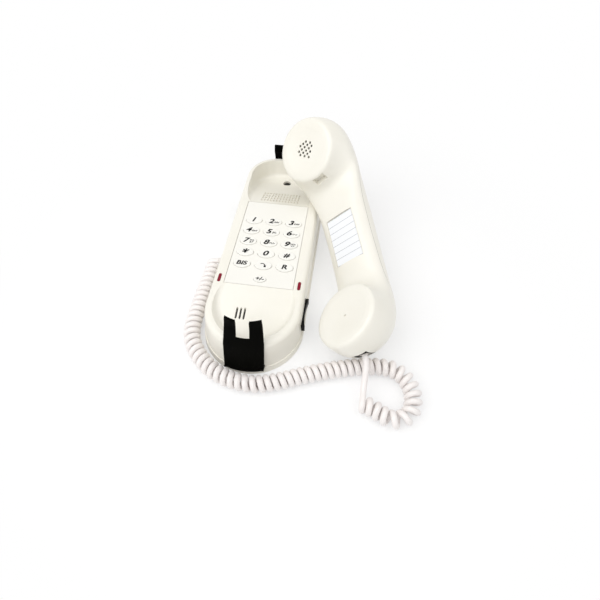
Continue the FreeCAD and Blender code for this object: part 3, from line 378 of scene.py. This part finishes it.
def sheet_quads(rows, columns):
    """Corner numbers of the faces of an open grid, row by row."""
    index = np.arange(rows * columns).reshape(rows, columns)
    return np.stack([index[:-1, :-1], index[:-1, 1:], index[1:, 1:], index[1:, :-1]], -1).reshape(-1, 4)


def felt_mesh():
    """Flat grid whose height falls evenly along the ramp, less the depth at which the felt lies."""
    across, run = np.meshgrid(np.linspace(-felt_half_width, felt_half_width, felt_steps),
                              np.linspace(felt_start, felt_end, felt_steps))
    height = ramp_height - (run - ramp_start) * ramp_fall / ramp_run - felt_sink
    mesh = bpy.data.meshes.new("grille_cloth")
    mesh.from_pydata(np.dstack([across, run, height]).reshape(-1, 3).tolist(), [],
                     sheet_quads(felt_steps, felt_steps).tolist())
    return mesh


felt = moulded_plastic("grille_felt", (0.78, 0.74, 0.65), (0.72, 0.67, 0.57), roughness=0.9,
                       grain=3200.0, bump=0.3)
cloth = new_piece("grille_cloth", felt_mesh(), felt)
cloth.modifiers.new("felt_thickness", "SOLIDIFY").thickness = felt_thickness
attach(cloth, "base")

# Foot pads: four black rubber discs pressed into the underside of the lower shell, which
# keep the phone from sliding on the table.
pad_rubber = moulded_plastic("foot_rubber", (0.03, 0.03, 0.03), (0.07, 0.065, 0.06), roughness=0.6,
                             grain=1400.0, bump=0.25)
smoothed_node("foot_pads", pad_rubber, sharp=32)

# Screws: plated steel, sunk in wells under the base, through the feet of the brackets and in
# the grip below the card. The weight, the magnet and the can of a microphone look the same.


def bright_metal(name, colour, roughness):
    """Plated or ground metal with fine scratches that run one way: noise drawn out along x."""
    finish, tree, shader = new_finish(name)
    place = tree.nodes.new("ShaderNodeTexCoord").outputs["Object"]
    drawn_out = add_node(tree, "ShaderNodeMapping", {"Vector": place, "Scale": (40, 900, 900)})
    scratches = add_node(tree, "ShaderNodeTexNoise",
                         {"Vector": drawn_out.outputs["Vector"], "Scale": 3.0, "Detail": 4.0})
    smoothest, roughest = 0.7 * roughness, 1.5 * roughness
    level = add_node(tree, "ShaderNodeMapRange",
                     {"Value": scratches.outputs["Fac"], "To Min": smoothest, "To Max": roughest})
    feed(tree, shader, {"Base Color": (*colour, 1), "Metallic": 1.0, "Roughness": level.outputs["Result"]})
    return finish


def repaint(node, finish):
    """Give a solid that is shown as it is a finish of its own."""
    finishes = frame["nodes"][node].data.materials
    finishes.clear()
    finishes.append(finish)


steel = bright_metal("plated_steel", (0.62, 0.61, 0.58), roughness=0.28)
for node in ("base_screws", "bracket_screws", "handset_screws", "handset_microphone", "hook_magnet",
             "handset_weight"):
    repaint(node, steel)

# Works inside: a green circuit board under a grey silicone mat, a small loudspeaker under
# the ramp, a reed switch for the hook, the contacts behind the rocker, and black capsules.
grey_silicone = moulded_plastic("silicone", (0.45, 0.45, 0.43), (0.38, 0.38, 0.36), roughness=0.55)
board_green = moulded_plastic("circuit_board", (0.03, 0.16, 0.06), (0.02, 0.10, 0.04), roughness=0.3,
                              grain=900.0)
works_black = moulded_plastic("works_black", (0.02, 0.02, 0.022), (0.05, 0.05, 0.05), roughness=0.45)
cone_paper = moulded_plastic("cone_paper", (0.42, 0.38, 0.30), (0.34, 0.31, 0.25), roughness=0.8)
reed_glass = moulded_plastic("reed_glass", (0.35, 0.55, 0.45), (0.3, 0.5, 0.4), roughness=0.12, coat=0.5)
for node, finish in (("keypad_mat", grey_silicone), ("main_board", board_green),
                     ("ringer_speaker", cone_paper), ("volume_switch", works_black),
                     ("earpiece_capsule", works_black), ("base_microphone", works_black),
                     ("reed_switch", reed_glass)):
    repaint(node, finish)

# Keypad faceplate: a thin sheet of nearly the same ivory let in flush with the deck,
# pierced with one oval hole for each key.
plate_plastic = moulded_plastic("plate_plastic", (0.885, 0.87, 0.815), (0.85, 0.83, 0.765), roughness=0.36,
                                drift=0.25)
smoothed_node("keypad_faceplate", plate_plastic)

# Keys: oval hard plastic caps with soft edges, each with a flange under the plate. Their
# numbers are printed in black, leaning to the right, with small letters beside them.
key_plastic = moulded_plastic("key_plastic", (0.89, 0.878, 0.83), (0.85, 0.835, 0.775), roughness=0.30,
                              drift=0.2, coat=0.1)
key_ink = moulded_plastic("key_ink", (0.004, 0.004, 0.005), (0.012, 0.012, 0.012), roughness=0.5,
                          drift=0.3, bump=0.0, shine=0.2)
flange_reach = 0.0009
flange_depth = 0.0010
flange_bevel = 0.0003
flange_bevel_height = 0.0002
flange_step = 0.0001
cap_round = 0.0007
cap_swell = 0.0001
cap_dip = 0.00018
cap_sharp = 50
rim_points = 72
edge_steps = 7
top_shares = np.linspace(0.999, 0.02, 9)
ink_level = 0.35
ink_half_thickness = 0.00001
stroke_weight = 0.032
letter_stretch = 1.2
digit_size = 0.0078
digit_lean = 0.3
digit_shift = 0.0019
letters_size = 0.0025
letters_lean = 0.1
letters_right = 0.0033
letters_down = 0.0009
letters = {"key_2": "ABC", "key_3": "DEF", "key_4": "GHI", "key_5": "JKL", "key_6": "MNO",
           "key_7": "PQ\nRS", "key_8": "TUV", "key_9": "WX\nYZ"}
letters_weight = {"key_6": 0.0}
sign_lean = 0.2
signs = {"key_star": ("*", 0.0110), "key_hash": ("#", 0.0068), "key_redial": ("BIS", 0.0062),
         "key_recall": ("R", 0.0068), "key_sign": ("+/-", 0.0053)}
sign_weight = {"key_star": 0.024}
sign_drop = {"key_star": 0.0014}
arc_middle = (-0.0008, -0.0010)
arc_radius = 0.0025
arc_sweep = (130, 5)
arc_points = 25
arc_width = 0.0008
dot_ends = ((0.0017, -0.0004), (0.0017, -0.0024))
dot_width = 0.0019


def oval_rim(half_width, half_height, count):
    """Oval of four tangent arcs, small at the tips and broad between, as points with their
    outward ways: centre + radius * way, where the way alone decides which arc it is on."""
    tip = half_height * 2 / 3
    broad = ((half_width - tip) ** 2 + half_height ** 2 - tip ** 2) / (2 * (half_height - tip))
    angle = np.linspace(0, 2 * np.pi, count, endpoint=False)
    way = np.column_stack([np.cos(angle), np.sin(angle)])
    on_tip = np.abs(way[:, 1]) < (broad - half_height) / (broad - tip)
    centre_x = np.where(on_tip, np.sign(way[:, 0]) * (half_width - tip), 0.0)
    centre_y = np.where(on_tip, 0.0, np.sign(way[:, 1]) * (half_height - broad))
    radius = np.where(on_tip, tip, broad)
    return np.column_stack([centre_x, centre_y]) + radius[:, None] * way, way


def key_mesh(node):
    """Oval cap as rings: flange, upright wall, a rounded edge of circular profile, and a dipped
    top that rises from its middle with the square of the distance."""
    low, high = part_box(node)
    middle = (low + high) / 2
    half_width = (high.x - low.x) / 2 - flange_reach
    half_height = (high.y - low.y) / 2 - flange_reach
    rim, way = oval_rim(half_width, half_height, rim_points)
    turn = np.linspace(0, np.pi / 2, edge_steps)[1:]
    outset = np.concatenate([[flange_reach - flange_bevel, flange_reach, flange_reach,
                              cap_swell, cap_swell], cap_swell + cap_round * (np.cos(turn) - 1)])
    height = np.concatenate([[low.z, low.z + flange_bevel_height, low.z + flange_depth,
                              low.z + flange_depth + flange_step, high.z - cap_round],
                             high.z - cap_round + cap_round * np.sin(turn)])
    wall = rim[None] + outset[:, None, None] * way[None]
    flat = np.concatenate([wall, wall[-1][None] * top_shares[:, None, None]])
    level = np.concatenate([height, high.z - cap_dip * (1 - top_shares ** 2)])
    rings = np.dstack([flat[..., 0] + middle.x, flat[..., 1] + middle.y,
                       np.broadcast_to(level[:, None], flat.shape[:2])])
    return grid_mesh(node + "_cap", rings)


def printed_text(name, words, size, place, lean, weight):
    """Flat printed words as a thin mesh, drawn large, then slanted and shrunk onto a key."""
    text = bpy.data.curves.new(name, "FONT")
    text.body = words
    text.size = 1.0
    text.offset = weight
    text.align_x = "CENTER"
    text.align_y = "CENTER"
    text.extrude = ink_half_thickness / size
    holder = bpy.data.objects.new(name, text)
    bpy.context.scene.collection.objects.link(holder)
    mesh = bpy.data.meshes.new_from_object(holder)
    bpy.data.objects.remove(holder)
    slant = Matrix(((letter_stretch, lean, 0, 0), (0, 1, 0, 0), (0, 0, 1, 0), (0, 0, 0, 1)))
    mesh.transform(Matrix.Translation(place) @ Matrix.Scale(size, 4) @ slant)
    return mesh


def printed_stroke(name, line, width, top):
    """Drawn sign: a band that reaches half its width to either side of a line, on top of a key."""
    way = unit(np.gradient(line, axis=0))
    across = np.column_stack([-way[:, 1], way[:, 0]]) * width / 2
    edges = np.concatenate([line + across, line - across])
    first = np.arange(len(line) - 1)
    second = first + len(line)
    faces = np.column_stack([first, second, second + 1, first + 1])
    mesh = bpy.data.meshes.new(name)
    mesh.from_pydata(np.column_stack([edges, np.full(len(edges), top)]).tolist(), [], faces.tolist())
    return mesh


def key_prints(node):
    """All that is printed on a key: a sign, an arc and a dot, or a digit with its letters."""
    low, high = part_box(node)
    middle = (low + high) / 2
    top = high.z - cap_dip * ink_level
    if node == "key_mute":
        angle = np.radians(np.linspace(*arc_sweep, arc_points))
        arc = np.column_stack([middle.x + arc_middle[0] + arc_radius * np.cos(angle),
                               middle.y + arc_middle[1] + arc_radius * np.sin(angle)])
        dot = np.array(dot_ends) + (middle.x, middle.y)
        return [printed_stroke(node + "_hook", arc, arc_width, top),
                printed_stroke(node + "_dot", dot, dot_width, top)]
    if node in signs:
        words, size = signs[node]
        place = (middle.x, middle.y - sign_drop.get(node, 0.0), top)
        weight = sign_weight.get(node, stroke_weight)
        return [printed_text(node + "_sign", words, size, place, sign_lean, weight)]
    digit = node[-1]
    if node not in letters:
        place = (middle.x, middle.y, top)
        return [printed_text(node + "_digit", digit, digit_size, place, digit_lean, stroke_weight)]
    place = (middle.x - digit_shift, middle.y, top)
    beside = (middle.x + letters_right, middle.y - letters_down, top)
    weight = letters_weight.get(node, stroke_weight)
    return [printed_text(node + "_digit", digit, digit_size, place, digit_lean, stroke_weight),
            printed_text(node + "_letters", letters[node], letters_size, beside, letters_lean, weight)]


for node in [n for n in frame["nodes"] if n.startswith("key_")]:
    cap = new_piece(node + "_cap", key_mesh(node), key_plastic)
    cap.data.set_sharp_from_angle(angle=math.radians(cap_sharp))
    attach(cap, node)
    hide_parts(node)
    for mesh in key_prints(node):
        ink = new_piece(mesh.name + "_print", mesh, key_ink)
        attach(ink, node)

# Lamps: two slim ruby lenses let into the deck beside the lowest key, lit from below by
# small LEDs on the ears of the circuit board.
ruby = moulded_plastic("red_lens", (0.24, 0.002, 0.02), (0.17, 0.002, 0.014), roughness=0.18,
                       drift=0.4, bump=0.02, shine=0.3)
for node in ("lamp_lens_left", "lamp_lens_right"):
    smoothed_node(node, ruby)
repaint("lamp_leds", ruby)

# Retaining brackets: black sheet bent up from a foot screwed between the two shells. The
# lower one is a fork round the dish, and the upper one a plain tab behind the cup.
bracket_black = moulded_plastic("black_sheet", (0.0010, 0.0010, 0.0008), (0.004, 0.004, 0.003),
                                roughness=0.42, drift=0.5, grain=1500.0, bump=0.12, shine=0.02)
sheet_rounding = 0.0003


def softened(piece, width):
    """Small rounding on the edges, as on sheared and painted sheet or a moulded button."""
    bevel = piece.modifiers.new("edge_rounding", "BEVEL")
    bevel.width = width
    bevel.segments = 2
    bevel.limit_method = "ANGLE"
    bevel.angle_limit = math.radians(40)
    piece.modifiers.move(len(piece.modifiers) - 1, 0)
    return piece


for node in ("lower_bracket", "upper_bracket"):
    softened(smoothed_node(node, bracket_black), sheet_rounding)

# Volume rocker: a black button with a hollowed face in the right wall, worked by the thumb.
# In the left wall a black socket takes the line's plug, and a rubber boot holds the handset cord.
rocker_black = moulded_plastic("rocker_black", (0.0025, 0.0025, 0.0025), (0.010, 0.010, 0.009),
                               roughness=0.4, grain=1700.0, bump=0.15, shine=0.1)
rocker_rounding = 0.0004
softened(smoothed_node("volume_rocker", rocker_black), rocker_rounding)
smoothed_node("line_jack", rocker_black)
boot_rubber = moulded_plastic("cord_rubber", (0.82, 0.78, 0.74), (0.76, 0.71, 0.66), roughness=0.5,
                              bump=0.1)
smoothed_node("cord_boot", boot_rubber)

# Handset: two ivory half shells joined along the sides. It swells from a squarish grip
# to a round, dished ear face with sound holes and a round mouth face with one tiny hole.
# Its sizes are in millimetres, in its own frame, with the grip along y.
millimetre = 0.001
ear_face = {"centre": np.array([0, 80.7, 26.0]), "tilt": 14.6, "radius": 27.6, "side": 1}
mouth_face = {"centre": np.array([0, -80.7, 27.8]), "tilt": -21.7, "radius": 27.4, "side": -1}
# Each section from ear to mouth: inner y and z, outer y and z, half width, squareness.
sections = np.array([
    (53.99, 19.04, 107.41, 32.96, 27.6, 2.0), (52.5, 10.5, 113.2, 23.0, 31.4, 2.0),
    (50.0, 4.0, 114.0, 10.0, 33.4, 2.1), (45.0, 1.0, 106.1, -5.0, 32.1, 2.2),
    (38.0, 0.0, 90.2, -15.2, 30.0, 2.3), (28.0, 0.0, 63.3, -23.2, 26.4, 2.5),
    (12.0, 0.0, 25.0, -26.6, 24.4, 2.6), (-5.0, 0.0, -6.4, -26.3, 23.7, 2.6),
    (-22.0, 0.0, -37.7, -24.3, 23.5, 2.6), (-36.0, 0.0, -71.4, -21.2, 24.3, 2.4),
    (-45.0, 0.5, -95.3, -12.6, 26.6, 2.3), (-51.0, 4.0, -108.9, 0.0, 28.3, 2.1),
    (-54.5, 10.0, -113.4, 17.0, 28.7, 2.0), (-55.24, 17.67, -106.16, 37.93, 27.4, 2.0)])
ring_points = 112
wall_rings = 150
edge_round = 3.2
edge_rings = 10
bowl_inset = 3.6
bowl_middle = 0.15
bowl_rings = 26
bowl_radius = 21.0
bowl_depth = 1.4
card_well = ((0, -3.7, 4.0), (28.4, 46.6, 12.4))
hook_slot = ((0, 49.6, 13.4), (12.2, 14.8, 7.8))
cord_notch = ((0, -112.4, 15.0), (13.9, 26.0, 12.9))
sound_rows = ((6.8, 3), (3.3, 5), (-0.2, 5), (-3.7, 3), (-7.2, 1))
sound_pitch = 3.5
sound_radius = 1.22
sound_depth = 7.0
voice_radius = 0.8
voice_depth = 4.0
drill_sides = 20
# Finish number of the near black walls in the holes and the cord notch: painted shade.
shell_number = 0
painted_shade_number = 1
shell_sharp = 38
joint_depth = 0.009


def section_rings(count):
    """Loops of points: a superellipse across the line from the inner to the outer point."""
    angle = np.linspace(0, 2 * np.pi, count, endpoint=False)
    power = 2 / sections[:, 5:6]
    across = np.sign(np.cos(angle)) * np.abs(np.cos(angle)) ** power
    inward = np.sign(np.sin(angle)) * np.abs(np.sin(angle)) ** power
    middle = (sections[:, 0:2] + sections[:, 2:4]) / 2
    reach = (sections[:, 0:2] - sections[:, 2:4]) / 2
    return np.dstack([sections[:, 4:5] * across, middle[:, 0:1] + reach[:, 0:1] * inward,
                      middle[:, 1:2] + reach[:, 1:2] * inward])


def smooth_between(rows, places, wanted):
    """Cubic curves through the rows with continuous slope and bend, free at both ends."""
    step = np.diff(places)
    count = len(places)
    system = np.eye(count)
    bend = np.zeros((count,) + rows.shape[1:])
    inner = np.arange(1, count - 1)
    system[inner, inner - 1] = step[:-1]
    system[inner, inner] = 2 * (step[:-1] + step[1:])
    system[inner, inner + 1] = step[1:]
    rise = np.diff(rows, axis=0) / step[:, None, None]
    bend[1:-1] = 6 * np.diff(rise, axis=0)
    second = np.linalg.solve(system, bend.reshape(count, -1)).reshape(bend.shape)
    cell = np.clip(np.searchsorted(places, wanted) - 1, 0, count - 2)
    width = step[cell][:, None, None]
    before = (places[cell + 1] - wanted)[:, None, None] / width
    after = 1 - before
    level = before * rows[cell] + after * rows[cell + 1]
    sag = (before ** 3 - before) * second[cell] + (after ** 3 - after) * second[cell + 1]
    return level + sag * width ** 2 / 6


def face_rings(centre, tilt, radius, side, edge, below):
    """Rounded edge and shallow dish of a face: a quadratic curve from the wall over the edge to
    the rim, then a bowl that rises from its middle with the square of the distance."""
    lean = math.radians(tilt)
    normal = np.array([0, -math.sin(lean), math.cos(lean)])
    inward = side * np.array([0, -math.cos(lean), -math.sin(lean)])
    angle = np.linspace(0, 2 * np.pi, len(edge), endpoint=False)
    round_way = np.cos(angle)[:, None] * np.array([1.0, 0, 0]) + np.sin(angle)[:, None] * inward
    rim = centre + (radius - edge_round) * round_way
    share = np.linspace(0, 1, edge_rings)[:, None, None]
    rounded = (1 - share) ** 2 * below + 2 * share * (1 - share) * edge + share ** 2 * rim
    reach = np.linspace(radius - bowl_inset, bowl_middle, bowl_rings)
    depth = bowl_depth * np.clip(1 - (reach / bowl_radius) ** 2, 0, None)
    bowl = centre + reach[:, None, None] * round_way[None] - depth[:, None, None] * normal
    return np.concatenate([rounded, bowl])


def handset_rings():
    """The whole skin as rings: the ear face from its middle out, the wall, and the mouth face."""
    rows = section_rings(ring_points)
    gap = np.sqrt((np.diff(rows, axis=0) ** 2).sum(-1).mean(-1))
    places = np.concatenate([[0], np.cumsum(gap)])
    wall = smooth_between(rows, places, np.linspace(edge_round, places[-1] - edge_round, wall_rings))
    ear = face_rings(**ear_face, edge=rows[0], below=wall[0])
    mouth = face_rings(**mouth_face, edge=rows[-1], below=wall[-1])
    return np.concatenate([ear[::-1], wall[1:-1], mouth])


def to_phone(points):
    """From the handset's own millimetres to metres in the frame of the phone."""
    return points * millimetre @ handset_turn.T + handset_place


def handset_matrix():
    """The same step from the handset to the phone, as one matrix."""
    turned = Matrix(handset_turn.tolist()).to_4x4()
    return Matrix.Translation(Vector(handset_place)) @ turned @ Matrix.Scale(millimetre, 4)


def cutter_mesh():
    """Tools that cut the handset: blocks for the card well, the hook slot and the cord notch, and round
    drills, square to their face, for the sound holes. The walls that the notch and the drills leave get a
    near black finish, which is painted shade in these openings."""
    shape = bmesh.new()

    def mark(made, number):
        """Give every face of a new tool the number of its finish."""
        for corner in made["verts"]:
            for face in corner.link_faces:
                face.material_index = number

    def block(place, size, number):
        """Box of a given size round its middle."""
        form = Matrix.Translation(place) @ Matrix.Diagonal((*size, 1))
        mark(bmesh.ops.create_cube(shape, size=1.0, matrix=form), number)

    def drill(face, x, run, radius, depth):
        """Round bar square to a face, as deep below it as it stands out above."""
        lean = Matrix.Rotation(math.radians(face["tilt"]), 4, "X")
        spot = Matrix.Translation(Vector(face["centre"])) @ lean @ Matrix.Translation((x, run, 0))
        made = bmesh.ops.create_cone(shape, cap_ends=True, segments=drill_sides, radius1=radius,
                                     radius2=radius, depth=2 * depth, matrix=spot)
        mark(made, painted_shade_number)

    block(*card_well, shell_number)
    block(*hook_slot, shell_number)
    block(*cord_notch, painted_shade_number)
    for run, count in sound_rows:
        for number in range(count):
            drill(ear_face, (number - (count - 1) / 2) * sound_pitch, run, sound_radius, sound_depth)
    drill(mouth_face, 0, 0, voice_radius, voice_depth)
    mesh = bpy.data.meshes.new("handset_cuts")
    shape.to_mesh(mesh)
    shape.free()
    mesh.transform(handset_matrix())
    return mesh


def seam_shading(finish):
    """Fine dark joint where the half shells meet, read from each point's height in the handset."""
    tree = finish.node_tree
    shader = tree.nodes["Principled BSDF"]
    level = add_node(tree, "ShaderNodeAttribute", {}, attribute_name="shell_height")
    away = add_node(tree, "ShaderNodeMath", {0: level.outputs["Fac"]}, operation="ABSOLUTE")
    mask = add_node(tree, "ShaderNodeMapRange",
                    {"Value": away.outputs[0], "From Min": 0.00010, "From Max": 0.00030, "To Min": 0.75,
                     "To Max": 0.0}, interpolation_type="SMOOTHSTEP")
    plain = shader.inputs["Base Color"].links[0].from_socket
    dark = add_node(tree, "ShaderNodeMix", {"Factor": mask.outputs["Result"], "A": plain,
                                            "B": (0.28, 0.26, 0.22, 1)}, data_type="RGBA")
    feed(tree, shader, {"Base Color": dark.outputs["Result"]})


handset_ivory = moulded_plastic("handset_ivory", ivory_colour, ivory_worn, roughness=0.26, coat=0.15)
seam_shading(handset_ivory)
# Near black finish on the walls of the sound holes, the mouth hole and the cord notch round the black
# socket: painted shade that stands in for the shade deep in these openings.
painted_hole_shade = moulded_plastic("painted_hole_shade", (0.004, 0.004, 0.003), (0.010, 0.009, 0.008), roughness=0.7,
                            shine=0.1)
handset = new_piece("handset_shells", grid_mesh("handset_shells", to_phone(handset_rings())),
                    handset_ivory, painted_hole_shade)
cuts = new_piece("handset_cuts", cutter_mesh(), handset_ivory, painted_hole_shade)
carve = handset.modifiers.new("openings", "BOOLEAN")
carve.operation = "DIFFERENCE"
carve.solver = "EXACT"
carve.material_mode = "INDEX"
carve.object = cuts
bpy.context.view_layer.update()
carved = bpy.data.meshes.new_from_object(handset.evaluated_get(bpy.context.evaluated_depsgraph_get()))
handset.modifiers.clear()
handset.data = carved
bpy.data.objects.remove(cuts)
carved.polygons.foreach_set("use_smooth", np.ones(len(carved.polygons), bool))
carved.set_sharp_from_angle(angle=math.radians(shell_sharp))
spots = np.empty(len(carved.vertices) * 3, np.float32)
carved.vertices.foreach_get("co", spots)
above_joint = ((spots.reshape(-1, 3) - handset_place) @ handset_turn)[:, 2] + joint_depth
shell_height = carved.attributes.new("shell_height", "FLOAT", "POINT")
shell_height.data.foreach_set("value", above_joint.astype(np.float32))
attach(handset, "handset")
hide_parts("handset_front_shell", "handset_back_shell")

# Index card: ruled white card in the well of the grip, where a caller writes numbers. It
# covers the two screws that hold the half shells together.
card_width = 27.2
card_length = 45.4
card_middle = -3.7
card_top = -1.72
card_underside = -2.05
card_bow = 0.12
card_columns = 13
card_rows = 23
ruled_rows = 7.0
ruled_share = 0.035


def ruled_paper():
    """White paper with fine fibres, ruled where its length, counted in rows, is near a whole number.
    Half a row is added first, so that a line lies in the middle of what FRACT gives."""
    finish, tree, shader = new_finish("card_paper")
    sheet = add_node(tree, "ShaderNodeUVMap", {}, uv_map="card")
    split = add_node(tree, "ShaderNodeSeparateXYZ", {"Vector": sheet.outputs["UV"]})
    half = 0.5
    rows = add_node(tree, "ShaderNodeMath", {0: split.outputs["Y"], 1: ruled_rows, 2: half},
                    operation="MULTIPLY_ADD")
    part = add_node(tree, "ShaderNodeMath", {0: rows.outputs[0]}, operation="FRACT")
    near = add_node(tree, "ShaderNodeMath", {0: part.outputs[0], 1: half, 2: ruled_share},
                    operation="COMPARE")
    place = tree.nodes.new("ShaderNodeTexCoord").outputs["Object"]
    fibre = add_node(tree, "ShaderNodeTexNoise", {"Vector": place, "Scale": 900.0, "Detail": 6.0})
    paper = add_node(tree, "ShaderNodeMix", {"Factor": fibre.outputs["Fac"], "A": (0.87, 0.885, 0.91, 1),
                                             "B": (0.91, 0.92, 0.935, 1)}, data_type="RGBA")
    ruled = add_node(tree, "ShaderNodeMix", {"Factor": near.outputs[0], "A": paper.outputs["Result"],
                                             "B": (0.45, 0.47, 0.50, 1)}, data_type="RGBA")
    relief = add_node(tree, "ShaderNodeBump",
                      {"Strength": 0.08, "Distance": 0.0001, "Height": fibre.outputs["Fac"]})
    feed(tree, shader, {"Base Color": ruled.outputs["Result"], "Roughness": 0.45,
                        "Normal": relief.outputs["Normal"]})
    return finish


def card_mesh():
    """Flat card of two skins on a grid, bowed up along its middle by a sine of its width."""
    across, run = np.meshgrid(np.linspace(0, 1, card_columns), np.linspace(0, 1, card_rows))
    x = (across - 0.5) * card_width
    y = card_middle + (run - 0.5) * card_length
    bow = card_bow * np.sin(np.pi * across)
    upper = np.dstack([x, y, card_top + bow]).reshape(-1, 3)
    lower = np.dstack([x, y, card_underside + bow * 0.5]).reshape(-1, 3)
    count = across.size
    index = np.arange(count).reshape(across.shape)
    top = sheet_quads(card_rows, card_columns)
    rim = np.concatenate([index[0, :], index[1:, -1], index[-1, -2::-1], index[-2:0:-1, 0]])
    after = np.roll(rim, -1)
    edge = np.stack([rim, rim + count, after + count, after], -1)
    faces = np.concatenate([top, top[:, ::-1] + count, edge])
    mesh = bpy.data.meshes.new("index_card")
    mesh.from_pydata(to_phone(np.concatenate([upper, lower])).tolist(), [], faces.tolist())
    corners = np.empty(len(mesh.loops), np.int32)
    mesh.loops.foreach_get("vertex_index", corners)
    flat = np.column_stack([np.tile(across.ravel(), 2), np.tile(run.ravel(), 2)])
    mesh.uv_layers.new(name="card").data.foreach_set("uv", flat[corners].astype(np.float32).ravel())
    return mesh


card = new_piece("ruled_card", card_mesh(), ruled_paper())
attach(card, "handset")
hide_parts("index_card")

# Handset socket and plug: a black modular socket sunk in the mouth end, with the clear
# plug of the cord pushed home in it.
smoothed_node("handset_jack", rocker_black)
plug_clear = moulded_plastic("clear_plug", (0.55, 0.52, 0.47), (0.5, 0.47, 0.42), roughness=0.15, coat=0.4)
repaint("handset_plug", plug_clear)

# Studio: a pale table that runs out of sight, a broad lamp above on the left of the dialling
# end and a weaker one to the right, under an even white surround.
table_reach = 3.0
table_height = -0.0002


def looked_at(tree):
    """1 for a ray from the camera, or one mirrored or bent on its way there, and 0 for the rest."""
    path = tree.nodes.new("ShaderNodeLightPath")
    seen = path.outputs["Is Camera Ray"]
    for ray in ("Is Glossy Ray", "Is Transmission Ray"):
        either = add_node(tree, "ShaderNodeMath", {0: seen, 1: path.outputs[ray]}, operation="MAXIMUM")
        seen = either.outputs[0]
    return seen


def fading_white():
    """White that takes shadows near the phone and glows evenly further off: the share of the
    glow grows smoothly with the distance from the middle of the scene."""
    finish, tree, shader = new_finish("table_white")
    feed(tree, shader, {"Base Color": (0.95, 0.95, 0.95, 1), "Roughness": 0.9})
    place = tree.nodes.new("ShaderNodeTexCoord").outputs["Object"]
    centred = add_node(tree, "ShaderNodeMapping", {"Vector": place, "Location": (-0.04, 0.02, 0)})
    away = add_node(tree, "ShaderNodeVectorMath", {0: centred.outputs["Vector"]}, operation="LENGTH")
    fade = add_node(tree, "ShaderNodeMapRange",
                    {"Value": away.outputs["Value"], "From Min": 0.14, "From Max": 0.30, "To Min": 0.45},
                    interpolation_type="SMOOTHSTEP")
    share = add_node(tree, "ShaderNodeMath", {0: fade.outputs["Result"], 1: looked_at(tree)},
                     operation="MULTIPLY")
    glow = tree.nodes.new("ShaderNodeEmission")
    both = add_node(tree, "ShaderNodeMixShader", {"Fac": share.outputs[0], 1: shader.outputs["BSDF"],
                                                  2: glow.outputs["Emission"]})
    feed(tree, tree.nodes["Material Output"], {"Surface": both.outputs["Shader"]})
    return finish


table_corners = [(x * table_reach, y * table_reach, table_height)
                 for x, y in ((-1, -1), (1, -1), (1, 1), (-1, 1))]
table_mesh = bpy.data.meshes.new("table_top")
table_mesh.from_pydata(table_corners, [], [(0, 1, 2, 3)])
table = new_piece("table_top", table_mesh, fading_white())
surround = bpy.data.worlds.new("white_surround")
bpy.context.scene.world = surround
surround.use_nodes = True
sky = surround.node_tree
glare = add_node(sky, "ShaderNodeMapRange", {"Value": looked_at(sky), "To Min": 0.60})
feed(sky, sky.nodes["Background"], {"Color": (1, 1, 1, 1), "Strength": glare.outputs["Result"]})
for name, place, aim, size, power in (("key_lamp", (-0.50, -0.38, 1.00), (0.0, -0.02, 0.0), 1.1, 7.4),
                                      ("fill_lamp", (0.55, -0.10, 1.00), (0.05, 0.0, 0.0), 0.9, 2.4)):
    lamp_data = bpy.data.lights.new(name, "AREA")
    lamp_data.size = size
    lamp_data.energy = power
    lamp = bpy.data.objects.new(name, lamp_data)
    bpy.context.scene.collection.objects.link(lamp)
    lamp.location = place
    lamp.rotation_euler = (Vector(place) - Vector(aim)).to_track_quat("Z", "Y").to_euler()
bpy.context.scene.view_settings.view_transform = "Standard"
